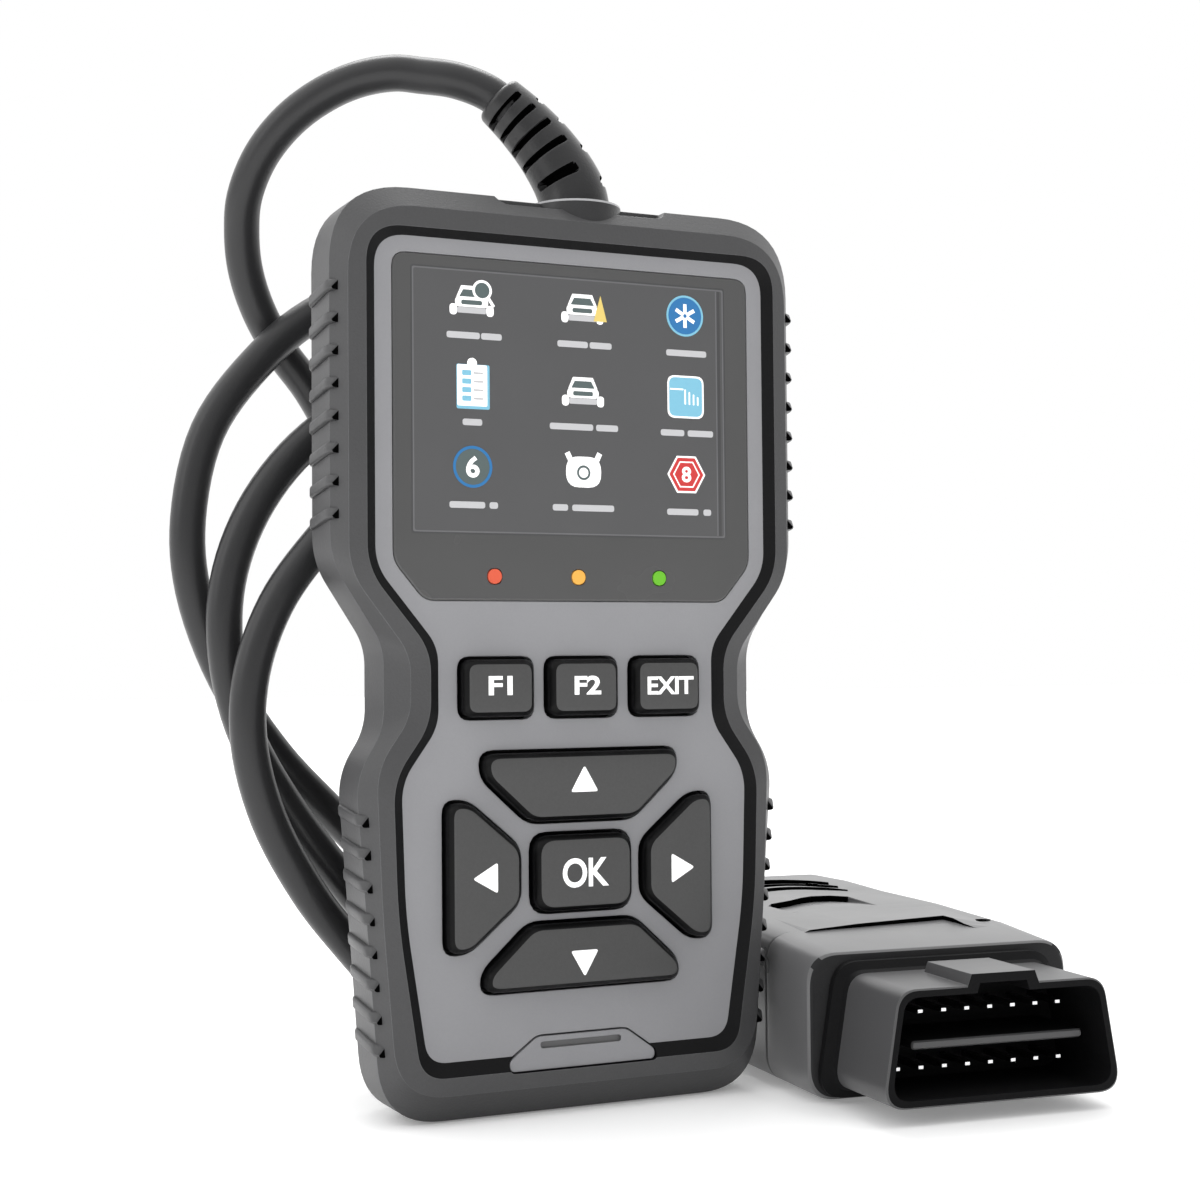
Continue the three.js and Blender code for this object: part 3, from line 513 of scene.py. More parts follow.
def through(points, steps):
    """A smooth curve through the points, with steps pieces between each pair."""
    known = [Vector(p) for p in points]
    known = [known[0] * 2 - known[1], *known, known[-1] * 2 - known[-2]]
    out = []
    for p0, p1, p2, p3 in zip(known, known[1:], known[2:], known[3:]):
        t1 = (p1 - p0).length ** 0.5
        t2 = t1 + (p2 - p1).length ** 0.5
        t3 = t2 + (p3 - p2).length ** 0.5
        for k in range(steps):
            t = t1 + (t2 - t1) * k / steps
            a1 = p0 * ((t1 - t) / t1) + p1 * (t / t1)
            a2 = p1 * ((t2 - t) / (t2 - t1)) + p2 * ((t - t1) / (t2 - t1))
            a3 = p2 * ((t3 - t) / (t3 - t2)) + p3 * ((t - t2) / (t3 - t2))
            b1 = a1 * ((t2 - t) / t2) + a2 * (t / t2)
            b2 = a2 * ((t3 - t) / (t3 - t1)) + a3 * ((t - t1) / (t3 - t1))
            out.append(b1 * ((t2 - t) / (t2 - t1)) + b2 * ((t - t1) / (t2 - t1)))
    return [*out, known[-2]]


def make_cord():
    line = through(CORD_ROUTE, 6)
    data = bpy.data.curves.new("cord_jacket", "CURVE")
    data.dimensions = "3D"
    data.bevel_depth = CORD_DIAMETER / 2 * MM
    data.bevel_resolution = 8
    data.use_fill_caps = True
    spline = data.splines.new("POLY")
    spline.points.add(len(line) - 1)
    for point, p in zip(spline.points, line):
        point.co = (*at(*p), 1)
    spline.use_smooth = True
    piece = bpy.data.objects.new("cord_jacket", data)
    scene.collection.objects.link(piece)
    data.materials.append(LOOKS["cord"])
    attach(piece, HOUSING)
    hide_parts("cord")
    return piece


# ---------------------------------------------------------------- outlines

# Seen from the front: the grey face, the bumper's front crease, its side, the groove's outer edge
# (which sits half a millimetre low), the window and the tab.
PANEL = symmetric([(25, 9.4, 3), (28.3, 31, 5), (28.9, 51, 3), (23, 59.3, 2.5), (23, 71.4, 2.5),
                   (32.8, 83.5, 3), (32.8, 133, 5)])
RIM = symmetric([(30, 4.2, 8), (32.2, 31, 5), (33.1, 53.2, 4), (27.7, 60.8, 3), (27.7, 70.1, 3),
                 (37.2, 82.6, 4), (37.2, 137.6, 11)])
SIDE_HALF = [(31.6, 0, 9.5), (33.8, 31, 5), (35.4, 51.9, 4), (31, 59, 3), (31, 71.6, 3),
             (39.2, 84.4, 4), (39.2, 141, 12.5)]
SIDE = symmetric(SIDE_HALF)
GROOVE = [(x, z if 20 < z < 120 else z - 0.5, r) for x, z, r in grow(PANEL, 1.8)]
LENS = symmetric([(25.2, 78.5, 1.5), (30, 84.3, 1.5), (30, 130.4, 2.2)])
TAB = symmetric([(12.1, 6.9, 0.7), (12.3, 8.3, 0.7), (7.5, 11.8, 0.8)])

# ---------------------------------------------------------------- bumper

EXIT = (3, 7)
GROOVE_FLOOR = 0.1
BUMPER_FRONT = -1.2
BUMPER_BACK = 17.5
BUMPER_INSIDE = grow(PANEL, 2.2)
IN_FRONT = -3
RECESS = [(-14, 143, 0.1), (-11.6, 139.6, 1.2), (15.8, 139.6, 1.2), (18.2, 143, 0.1)]
RECESS_BACK = 4.5


def bumper():
    ring = loft([
        (BUMPER_FRONT, GROOVE),
        (-0.4, RIM),
        (2.5, SIDE),
        (11.5, SIDE),
        (BUMPER_BACK, grow(SIDE, -3)),
        (BUMPER_BACK, BUMPER_INSIDE),
        (GROOVE_FLOOR, BUMPER_INSIDE),
        (GROOVE_FLOOR, grow(PANEL, 0.05)),
    ], steps=12, ring=True)
    piece = new_piece("bumper_shell", ["bumper", "groove"], *ring)
    cut(piece, "DIFFERENCE", *extruded(RECESS, IN_FRONT, RECESS_BACK))
    cut(piece, "DIFFERENCE", *turned(*EXIT, [(6.2, 134.5), (6.2, 150)]))
    # The gap round the tab takes the groove look: painted shade.
    cut(piece, "DIFFERENCE", *extruded(grow(TAB, 0.2), IN_FRONT, 1.3), look=1)
    edge = rounded(grow(GROOVE, 0.1))

    def in_groove(centre, normal):
        slanted = -0.9 < normal.y < -0.2
        between = BUMPER_FRONT + 0.05 < centre.y < GROOVE_FLOOR + 0.02
        return slanted and between and inside((centre.x, centre.z), edge)

    # The groove's slope is painted near-black as shade.
    paint(piece, 1, in_groove)
    finish_piece(piece, replaces=["rubber_bumper"], smooth=17)


def inside(point, outline):
    """Whether the point is inside a closed outline of (x, z) points."""
    x, z = point
    crossings = False
    for (ax, az), (bx, bz) in zip(outline, outline[1:] + outline[:1]):
        if (az > z) != (bz > z) and x < (bx - ax) * (z - az) / (bz - az) + ax:
            crossings = not crossings
    return crossings


COLLAR_PROFILE = [(6.3, 134), (6.7, 134), (7.4, 141), (7.3, 141.35), (7.0, 141.4), (6.3, 141.3)]


def collar():
    """The round rim that the strain relief comes out of, darkened as painted shade, with a painted
    highlight on its top edge.
    """
    rings = [[(x, y, z) for x, y in disc(*EXIT, r, 64)] for r, z in COLLAR_PROFILE]
    piece = new_piece("cord_collar", ["collar", "collar_rim_highlight"], *skin(rings, ring=True))
    # The collar's top ring is painted pale as a highlight.
    paint(piece, 1, lambda centre, normal: centre.z > 141.1)
    finish_piece(piece, replaces=["rubber_bumper"], smooth=25)


RIB_COUNT = 8
RIB_PITCH = 4.86
RIB_SLANT = 0.12
# Across a rib: half its width at each step, and how far the top drops there.
RIB_CROWN = ((-0.9, 0.6), (-0.8, 0.2), (-0.5, 0.03), (0.5, 0.03), (0.8, 0.2), (0.9, 0.6))
RIB_POINT = 2.2  # depth where the front end starts to narrow
# Of a rib seen from its end: distance out from the bumper's side, and depth.
RIB_PROFILE = [(-4, 3), (-1.6, 1.1), (0.1, 1.1), (0.35, 1.35), (0.6, 2.2), (0.75, 3.2),
               (0.75, 10.3), (0.5, 11.2), (-0.6, 12.5), (-4, 12.5)]


def ribs():
    foot, waist, hip = SIDE_HALF[:3]
    lean = math.atan2(waist[0] - foot[0], waist[1] - foot[1])
    spots = [(SIDE_HALF[-1][0], 91.4 + i * RIB_PITCH, 0, -RIB_SLANT) for i in range(RIB_COUNT)]
    for i in range(RIB_COUNT):
        z = 11.3 + i * RIB_PITCH
        a, b = (foot, waist) if z < waist[1] else (waist, hip)
        wall = a[0] + (b[0] - a[0]) * (z - a[1]) / (b[1] - a[1])
        spots.append((wall, z, lean, RIB_SLANT))
    parts = []
    for wall, z, turn, slant in spots:
        for side in (1, -1):
            rings = []
            for h, drop in RIB_CROWN:
                ring = []
                for x, y in RIB_PROFILE:
                    out = x - drop - max(0, RIB_POINT - y) * max(0, h + 0.5) * 0.9
                    ring.append((side * (wall + out * math.cos(turn) + h * math.sin(turn)), y,
                                 z - out * math.sin(turn) + h * math.cos(turn) + slant * y))
                rings.append(ring)
            parts.append(skin(rings))
    piece = new_piece("bumper_ribs", ["bumper", "slot_dark"], *merged(parts))
    # The ribs' front end faces are painted near-black as the shadow under their ends.
    paint(piece, 1, lambda centre, normal: normal.y < -0.9 and centre.y < 1.3)
    finish_piece(piece, replaces=["rubber_bumper"], smooth=50)


# ---------------------------------------------------------------- strain relief

RELIEF_ROUTE = [(3, 7, 136.5), (3, 7, 141), (2.4, 7.3, 144.4), (-0.4, 8.6, 149.9),
                (-4.1, 10.3, 154.9), (-8.2, 12, 159.2)]
# Slots: distance along the sleeve, half its length, middle angle and half angle in degrees.
RELIEF_SLOTS = [
    *[(s, 0.45, -42, 60) for s in (24.2, 21.3, 18.0, 14.5)], (9.8, 0.75, -40, 42),
    *[(s, 0.5, 88, 46) for s in (21.5, 17.3, 12.2, 7.4)],
    *[(s, 0.45, 195, 40) for s in (24.2, 21.3, 18.0, 14.5, 9.8)],
]


RELIEF_FOOT, RELIEF_TIP = 5.9, 4.1
RELIEF_ROUNDING = 0.9
SLOT_DEPTH = 1.5
SLOT_WALL = 0.16


def relief():
    """The bent sleeve: slots are dents of its surface, painted dark as shadow."""
    line = through(RELIEF_ROUTE, 40)
    steps, sides = len(line), 112
    travelled = [0.0]
    for a, b in zip(line, line[1:]):
        travelled.append(travelled[-1] + (b - a).length)
    total = travelled[-1]
    front = Vector((0, -1, 0))
    rings, dented = [], []
    for k, (s, centre) in enumerate(zip(travelled, line)):
        ahead = (line[min(k + 1, steps - 1)] - line[max(k - 1, 0)]).normalized()
        across = ahead.cross(front).normalized()
        facing = across.cross(ahead).normalized()
        outer = RELIEF_FOOT + (RELIEF_TIP - RELIEF_FOOT) * (s / total) ** 1.2
        past = s - total + RELIEF_ROUNDING
        if past > 0:
            outer -= RELIEF_ROUNDING - math.sqrt(max(RELIEF_ROUNDING ** 2 - past ** 2, 0))
        ring, dents = [], []
        for i in range(sides):
            angle = 2 * math.pi * i / sides
            radius = outer
            for at_s, half, middle, spread in RELIEF_SLOTS:
                turn = (math.degrees(angle) - middle + 180) % 360 - 180
                reach = max(math.radians(abs(turn) - spread) * outer + half, 0)
                distance = math.hypot(reach, s - at_s) - half
                depth = min(max(0.5 - distance / SLOT_WALL, 0), 1)
                radius = min(radius, outer - SLOT_DEPTH * depth)
            ring.append(centre + (facing * math.cos(angle) + across * math.sin(angle)) * radius)
            dents.append(radius < outer - 0.5)
        rings.append([tuple(p) for p in ring])
        dented.append(dents)
    piece = new_piece("strain_relief_sleeve", ["relief", "slot_dark"], *skin(rings))
    # Dented faces take the painted shadow.
    for face in piece.data.polygons:
        k, i = divmod(face.index, sides)
        if k < steps - 1 and dented[k][i]:
            face.material_index = 1
    finish_piece(piece, replaces=["strain_relief"], smooth=50)


# ---------------------------------------------------------------- flat print

def band(outer, inner):
    """Verts and faces of the strip between two outlines that have as many points."""
    n = len(outer)
    return [*outer, *inner], [(i, (i + 1) % n, n + (i + 1) % n, n + i) for i in range(n)]


def patch(points):
    """Verts and the one face of a filled outline."""
    return points, [tuple(range(len(points)))]


def plate(x, z, width, height, r):
    """Outline points of a rounded rectangle."""
    return rounded(box2(x, z, width, height, r), 5)


def stroke(a, b, width):
    """A straight stroke between two points."""
    a, b = Vector(a), Vector(b)
    side = (b - a).normalized().orthogonal() * width / 2
    return patch([tuple(p) for p in (a - side, b - side, b + side, a + side)])


def lettering(text, x, z, width, height, weight):
    """A short legend in the built-in face, fitted to a width and a height."""
    data = bpy.data.curves.new("legend", "FONT")
    data.body = text
    data.offset = weight
    data.space_character = 0.94
    data.resolution_u = 6
    source = bpy.data.objects.new("legend", data)
    scene.collection.objects.link(source)
    graph = bpy.context.evaluated_depsgraph_get()
    mesh = bpy.data.meshes.new_from_object(source.evaluated_get(graph))
    points = [(v.co.x, v.co.y) for v in mesh.vertices]
    faces = [tuple(face.vertices) for face in mesh.polygons]
    bpy.data.objects.remove(source)
    bpy.data.meshes.remove(mesh)
    xs, zs = [p[0] for p in points], [p[1] for p in points]
    fit_x, fit_z = width / (max(xs) - min(xs)), height / (max(zs) - min(zs))
    mid_x, mid_z = (max(xs) + min(xs)) / 2, (max(zs) + min(zs)) / 2
    return [(x + (u - mid_x) * fit_x, z + (v - mid_z) * fit_z) for u, v in points], faces


def printed(name, items, body=HOUSING):
    """One piece of flat print: items are (look, depth, (points, faces)), facing the front."""
    looks = sorted({look for look, _, _ in items})
    verts, faces, numbers = [], [], []
    for look, y, (points, parts) in items:
        faces += [tuple(i + len(verts) for i in part) for part in parts]
        numbers += [looks.index(look)] * len(parts)
        verts += [at(x, y, z) for x, z in points]
    mesh = bpy.data.meshes.new(name)
    mesh.from_pydata(verts, [], faces)
    for face, number in zip(mesh.polygons, numbers):
        face.material_index = number
        if face.normal.y > 0:
            face.flip()
    for look in looks:
        mesh.materials.append(LOOKS[look])
    piece = bpy.data.objects.new(name, mesh)
    scene.collection.objects.link(piece)
    finish_piece(piece, body=body, smooth=0)


# ---------------------------------------------------------------- window and screen

LED_X = (-14, 0, 14)
LED_Z = 82
LED_RADIUS = 1.15
SCREEN_X, SCREEN_Z = -0.6, 108.6
SCREEN_WIDTH, SCREEN_HEIGHT = 53, 40
SCREEN = box2(SCREEN_X, SCREEN_Z, SCREEN_WIDTH, SCREEN_HEIGHT, 0.3)
# Depths of the print's layers, each a little in front of the last.
GLASS = -0.17
LAYER = GLASS - 0.02
TOP_LAYER = GLASS - 0.04


def window():
    piece = new_piece("window", ["lens"], *loft([
        (0.9, LENS),
        (0.02, LENS),
        (0.0, grow(LENS, 0.22)),
        (-0.15, grow(LENS, -0.05)),
    ], 8))
    for x in LED_X:
        hole = box2(x, LED_Z, 2 * LED_RADIUS + 0.2, 2 * LED_RADIUS + 0.2, LED_RADIUS + 0.1)
        cut(piece, "DIFFERENCE", *extruded(hole, -1, 2, 8))
    finish_piece(piece, replaces=["display_lens"], smooth=25)


def car(x, z):
    """A small car seen from the front."""
    roof = [(-2.5, 0.4), (2.5, 0.4), (1.7, 2.2), (-1.7, 2.2)]
    glass = [(-2.0, 0.5), (2.0, 0.5), (1.4, 1.6), (-1.4, 1.6)]
    return [
        ("print", GLASS, patch([(x + u, z + v) for u, v in roof])),
        ("icon_grey", LAYER, patch([(x + u, z + v) for u, v in glass])),
        ("print", GLASS, patch(plate(x, z - 0.3, 5.4, 1.5, 0.7))),
        ("icon_grey", LAYER, patch(plate(x, z - 0.35, 3.4, 0.7, 0.3))),
        ("print", GLASS, patch(plate(x - 3.0, z - 1.5, 1.2, 1.7, 0.6))),
        ("print", GLASS, patch(plate(x + 3.0, z - 1.5, 1.2, 1.7, 0.6))),
        ("caption", GLASS, patch(plate(x, z - 1.55, 4.8, 0.9, 0.3))),
    ]


ICON_COLUMNS, ICON_ROWS = (-17.5, 1, 19), (124, 111, 98.6)
# Under the icons: the heights of the bars that stand for words, then each one's middle and width.
CAPTION_HEIGHTS = [118.6, 118.3, 118, 105.4, 105.4, 105.2, 92.8, 92.8, 92.6]
CAPTION_BARS = [
    [(-18.9, 5.4), (-14.3, 3.4)], [(-0.7, 5.2), (4.1, 3.8)], [(19.2, 7.2)],
    [(-17.5, 3.2)], [(-1.0, 7.4), (5.1, 3.8)], [(16.6, 4.2), (21.6, 4.6)],
    [(-18.4, 5.8), (-14.1, 1.4)], [(-3.0, 2.6), (2.6, 7.2)], [(18.3, 5.6), (22.7, 1.4)],
]


def car_and_lens(x, z):
    rim = TOP_LAYER - 0.02
    return [
        *car(x, z),
        ("icon_grey", TOP_LAYER, patch(disc(x + 1.7, z + 1.6, 1.4))),
        ("print", rim, band(disc(x + 1.7, z + 1.6, 1.6), disc(x + 1.7, z + 1.6, 1.2))),
        ("print", rim, stroke((x + 2.7, z + 0.5), (x + 3.6, z - 0.8), 0.5)),
    ]


def car_and_cone(x, z):
    cone = [(x + 1.9, z - 1.9), (x + 4.2, z - 1.9), (x + 3.1, z + 2.2)]
    return [*car(x, z), ("icon_yellow", TOP_LAYER, patch(cone))]


def star_disc(x, z):
    directions = [(math.cos(a), math.sin(a)) for a in (math.radians(30 + 60 * k) for k in range(6))]
    return [
        ("pale_blue", GLASS, patch(disc(x, z, 3.3))),
        ("blue", LAYER, patch(disc(x, z, 2.95))),
        *[("print", TOP_LAYER, stroke((x + 0.3 * u, z + 0.3 * v), (x + 1.9 * u, z + 1.9 * v), 0.6))
          for u, v in directions],
    ]


def clipboard(x, z):
    lines = [z + 1.9 - 1.3 * k for k in range(4)]
    return [
        ("pale_blue", GLASS, patch(plate(x + 0.15, z - 0.2, 5.4, 6.8, 0.3))),
        ("print", LAYER, patch(plate(x, z, 4.9, 6.3, 0.3))),
        ("print", LAYER, patch(disc(x, z + 3.4, 0.8))),
        *[("pale_blue", TOP_LAYER, patch(plate(x - 0.9, line, 1.5, 0.8, 0.2))) for line in lines],
        *[("caption", TOP_LAYER, patch(plate(x + 1.0, line, 1.6, 0.3, 0.1))) for line in lines],
    ]


def lined_tile(x, z):
    bars = [plate(x - 0.1 + 0.75 * k, z - 0.2 * k, 0.28, 2.4 - 0.35 * k, 0.1) for k in range(4)]
    return [
        ("print", GLASS, patch(plate(x, z, 6.5, 6.8, 1.3))),
        ("pale_blue", LAYER, patch(plate(x, z, 5.9, 6.2, 1.1))),
        *[("print", TOP_LAYER, patch(bar)) for bar in bars],
        ("print", TOP_LAYER, patch(plate(x - 1.6, z + 1.2, 2.4, 0.25, 0.1))),
    ]


def numbered_ring(x, z):
    return [
        ("icon_grey", GLASS, patch(disc(x, z, 2.9))),
        ("blue", LAYER, band(disc(x, z, 3.2), disc(x, z, 2.75))),
        ("print", TOP_LAYER, lettering("6", x, z, 2.2, 3.3, 0.03)),
    ]


def engine(x, z):
    return [
        ("print", GLASS, patch(plate(x, z - 0.2, 6.0, 4.8, 2.2))),
        ("print", GLASS, stroke((x - 2.1, z + 1.4), (x - 2.8, z + 2.8), 0.9)),
        ("print", GLASS, stroke((x + 2.1, z + 1.4), (x + 2.8, z + 2.8), 0.9)),
        ("icon_grey", LAYER, band(disc(x, z - 0.3, 1.15), disc(x, z - 0.3, 0.8))),
    ]


def numbered_hexagon(x, z):
    return [
        ("print", GLASS, patch(disc(x, z, 3.4, 6))),
        ("icon_red", LAYER, patch(disc(x, z, 3.05, 6))),
        ("print", TOP_LAYER, band(disc(x, z, 2.4, 6), disc(x, z, 2.15, 6))),
        ("print", TOP_LAYER, lettering("8", x, z, 1.7, 2.5, 0.03)),
    ]


def icons():
    """Three rows of three pictograms, and the bars below them."""
    drawn = [car_and_lens, car_and_cone, star_disc, clipboard, car, lined_tile, numbered_ring,
             engine, numbered_hexagon]
    places = [(x, z) for z in ICON_ROWS for x in ICON_COLUMNS]
    items = []
    for draw, place in zip(drawn, places):
        items += draw(*place)
    for spans, z in zip(CAPTION_BARS, CAPTION_HEIGHTS):
        items += [("caption", GLASS, patch(plate(x, z, width, 1.0, 0.4))) for x, width in spans]
    return items


def screen():
    piece = new_piece("screen_area", ["screen"], *loft([(-0.1, SCREEN), (-0.155, SCREEN)], 3))
    finish_piece(piece, smooth=25)
    frame_out, frame_in = rounded(SCREEN, 3), rounded(grow(SCREEN, -0.22), 3)
    edge = SCREEN_X + SCREEN_WIDTH / 2
    line_height = SCREEN_HEIGHT - 0.6
    items = [
        ("screen_line", GLASS + 0.005, band(frame_out, frame_in)),
        ("screen_dark", GLASS + 0.005, band(rounded(grow(SCREEN, 0.25), 3), frame_out)),
        ("screen_line", GLASS + 0.003, patch(plate(edge - 1.3, SCREEN_Z, 0.2, line_height, 0.1))),
        ("screen_dark", GLASS + 0.003, patch(plate(edge - 0.85, SCREEN_Z, 0.5, line_height, 0.1))),
        *icons(),
    ]
    printed("screen_print", items)


# ---------------------------------------------------------------- keys and tab

PAD_Z = 36.6
KEY_PROUD = 2.2
KEY_CLEARANCE = 0.5
FLANGE_FRONT, FLANGE_BACK = 2.3, 3.3


def mirrored(points):
    return [(-x, z, r) for x, z, r in reversed(points)]


UP_KEY = [(9, 44.1, 2), (16.8, 51.3, 2), (16.8, 55.6, 2.4), (-16.8, 55.6, 2.4), (-16.8, 51.3, 2),
          (-9, 44.1, 2)]
DOWN_KEY = [(16.8, 18.6, 2.4), (16.8, 22.2, 2), (9, 29.4, 2), (-9, 29.4, 2), (-16.8, 22.2, 2),
            (-16.8, 18.6, 2.4)]
RIGHT_KEY = [(9.9, 32.3, 2), (18.6, 24.9, 2), (22.8, 24.9, 2.2), (22.8, 48.3, 2.2), (18.6, 48.3, 2),
             (9.9, 40.9, 2)]
KEYS = {
    "key_f1": box2(-13.9, 65, 12.6, 9.7, 2),
    "key_f2": box2(0.3, 65, 12.6, 9.7, 2),
    "key_exit": box2(14.6, 65, 12.6, 9.7, 2),
    "key_up": UP_KEY,
    "key_down": DOWN_KEY,
    "key_left": mirrored(RIGHT_KEY),
    "key_right": RIGHT_KEY,
    "key_ok": box2(0, PAD_Z, 17.4, 12.6, 3),
}
ARROWS = {"key_up": (-0.2, 50.3, 90), "key_down": (-0.4, 23.4, 270), "key_left": (-16.0, 36.5, 180),
          "key_right": (16.0, 36.5, 0)}


def arrow(x, z, turn):
    corners = disc(x, z, 2.7, 3, math.radians(turn))
    return patch(rounded([(u, v, 0.5) for u, v in corners], 5))


def keys():
    legends = {
        "key_f1": lettering("F1", -14.0, 65.4, 3.9, 2.9, 0.03),
        "key_f2": lettering("F2", 0.5, 65.3, 4.5, 2.9, 0.03),
        "key_exit": lettering("EXIT", 14.8, 65.1, 8.1, 2.8, 0.025),
        "key_ok": lettering("OK", -0.1, PAD_Z, 7.8, 4.5, 0.02),
        **{name: arrow(*place) for name, place in ARROWS.items()},
    }
    for name, hole in KEYS.items():
        cap = grow(hole, -KEY_CLEARANCE)
        flange = grow(hole, 0.4)
        piece = new_piece(f"{name}_cap", ["key_face", "key_side"], *loft([
            (-KEY_PROUD, grow(cap, -1.05)),
            (-KEY_PROUD + 0.03, grow(cap, -0.85)),
            (-KEY_PROUD + 0.12, grow(cap, -0.74)),
            (-1.4, grow(cap, -0.15)),
            (-1.1, cap),
            (FLANGE_FRONT, cap),
            (FLANGE_FRONT, flange),
            (FLANGE_BACK, flange),
        ], 8))
        paint(piece, 1, lambda centre, normal: normal.y > -0.75 or centre.y > -1.9)
        finish_piece(piece, body=f"{name}_body", replaces=[name], smooth=40)
        printed(f"{name}_legend", [("print", -KEY_PROUD - 0.015, legends[name])],
                body=f"{name}_body")


TAB_TILT = 0.12
TAB_TOP = 11.8


def tab():
    """The slotted tab, whose front leans back from its top edge."""
    piece = new_piece("bottom_tab_cover", ["cover", "plug"], *loft([(1.0, TAB), (-1.3, TAB)], 6))
    front = [(x, y, z) for x in (-20, 20) for y, z in ((-5, -8), (0, -8), (0, 3), (-5, 3))]
    turn = Matrix.Translation((0, 0, TAB_TOP)) @ Matrix.Rotation(-TAB_TILT, 4, "X")
    cut(piece, "DIFFERENCE", *skin([front[:4], front[4:]]), turn)
    # The slot's faces take the darker plug grey as painted shade.
    cut(piece, "DIFFERENCE", *extruded(box2(-0.2, 10.5, 13.6, 1.0, 0.5), IN_FRONT, 0.4), look=1)
    finish_piece(piece, replaces=["bottom_tab"], smooth=20)


# ---------------------------------------------------------------- diagnostic plug

# The plug's own frame: Y runs back from the cap's front, X across, Z up from the surface.
PLUG = Matrix.Translation((55.2, -26.1, 0)) @ Matrix.Rotation(-0.102, 4, "Z")
PIN_Z = 11
SEAM = 28
CAP_HALF = 23.2
CAP_FACE = 12
CAP_BACK_TOP = 24.3
# Of the grip: distance back, half width, bottom and top.
GRIP_SECTIONS = [
    (SEAM, 23, 0.2, CAP_BACK_TOP),
    (SEAM + 0.4, CAP_HALF, 0, CAP_BACK_TOP),
    (50, CAP_HALF, 0, 25),
    (70, 22.6, 0, 25.2),
    (82, 21, 0.6, 26),
    (90, 18.5, 1.6, 26.4),
    (96.2, 15, 2.7, 25.7),
    (97, 13.9, 3.6, 24.9),
]


def plug_outline(half_width, bottom, top, r=5):
    return symmetric([(half_width, bottom, r), (half_width, top, r)])


def plug_cap():
    piece = new_piece("plug_cap", ["plug", "plug_face_shade"], *loft([
        (CAP_FACE, plug_outline(22.4, 0.8, 22.2)),
        (CAP_FACE + 0.15, plug_outline(22.75, 0.4, 22.6)),
        (CAP_FACE + 0.5, plug_outline(23.1, 0.1, 22.95)),
        (CAP_FACE + 1, plug_outline(CAP_HALF, 0, 23.05)),
        (SEAM - 0.4, plug_outline(CAP_HALF, 0, CAP_BACK_TOP)),
        (SEAM - 0.02, plug_outline(23, 0.2, CAP_BACK_TOP)),
    ], 14), PLUG)
    # Faces turned to the front take the darker look: painted shade.
    paint(piece, 1, lambda centre, normal: normal.y < -0.8, PLUG)
    finish_piece(piece, replaces=["plug_front_cap"], smooth=20)


def arc(cx, cy, rx, ry, start, stop, steps=16):
    """Points of part of an ellipse, between two angles in degrees."""
    angles = [math.radians(start + (stop - start) * k / steps) for k in range(steps + 1)]
    return [(cx + rx * math.cos(a), cy + ry * math.sin(a)) for a in angles]


def scoop(line, reach, depth, top):
    """Cuts a slope that falls from reach millimetres in front of the line to a wall at the line."""
    count = len(line)
    mouth = [(x * 0.9, y - reach) for x, y in line]
    low = [*((x, y, top - depth) for x, y in line), *((x, y, top) for x, y in reversed(mouth))]
    high = [(x, y, top + 3) for x, y, _ in low]
    verts = [*low, *high]
    n = 2 * count
    faces = [(i, (i + 1) % n, n + (i + 1) % n, n + i) for i in range(n)]
    for i in range(count - 1):
        faces.append((i, i + 1, n - 2 - i, n - 1 - i))
        faces.append((n + i, n + i + 1, 2 * n - 2 - i, 2 * n - 1 - i))
    return verts, faces


SCOOP_LINE = [(-10.5, 55.5), (-8.8, 58.1), (-3.6, 61.3), (0, 64.2), (2.7, 65.6), (6.3, 65.2),
              (8.8, 62.7)]
# Finger steps on the grip's top: the wall's line, the slope's reach, its depth, and the top there.
GRIP_STEPS = [
    (SCOOP_LINE, 15, 1.1, 25.15),
    *[(arc(2, 58 + 4.2 * k, 14, 15, 160, 38), 3.2, 0.3, 25.15 + 0.17 * k) for k in range(1, 4)],
    (arc(1, 67, 13, 16, 160, 50), 3.6, 0.6, 25.95),
]


def plug_grip():
    sections = [(y, plug_outline(*size)) for y, *size in GRIP_SECTIONS]
    piece = new_piece("plug_grip", ["plug", "slot_dark"], *loft(sections, 14), PLUG)
    for line, reach, depth, top in GRIP_STEPS:
        cut(piece, "DIFFERENCE", *scoop(line, reach, depth, top), PLUG)

    # The steps' walls facing the front are painted dark as shade.
    def on_wall(centre, normal):
        return centre.z > 23.9 and normal.y < -0.6 and centre.y > 40

    paint(piece, 1, on_wall, PLUG)
    finish_piece(piece, replaces=["plug_top_shell", "plug_bottom_shell"],
                 smooth=14)


def plug_top(y):
    """Height of the plug's top at a distance y behind the shroud."""
    rise_per_mm = 0.7 / 22 if y > SEAM else 1.25 / 14.3
    return CAP_BACK_TOP + rise_per_mm * (y - SEAM)


# The step's line and height, and the line where the slope behind it meets the top again.
LEDGE_LINE = [(-16.9, 26.7, 0), (-15.6, 27.2, 0.3), (-6.2, 28.6, 0.6), (2.4, 30, 0.65),
              (11.4, 31.4, 0.7), (11.6, 28.5, 0.7), (12, 25.2, 0.35), (13.1, 22.8, 0)]
LEDGE_BACK = [(-16.9, 44), (-15.6, 46), (-6.2, 48), (2.4, 48), (18, 48), (17.6, 30), (17.4, 26),
              (17.2, 23)]


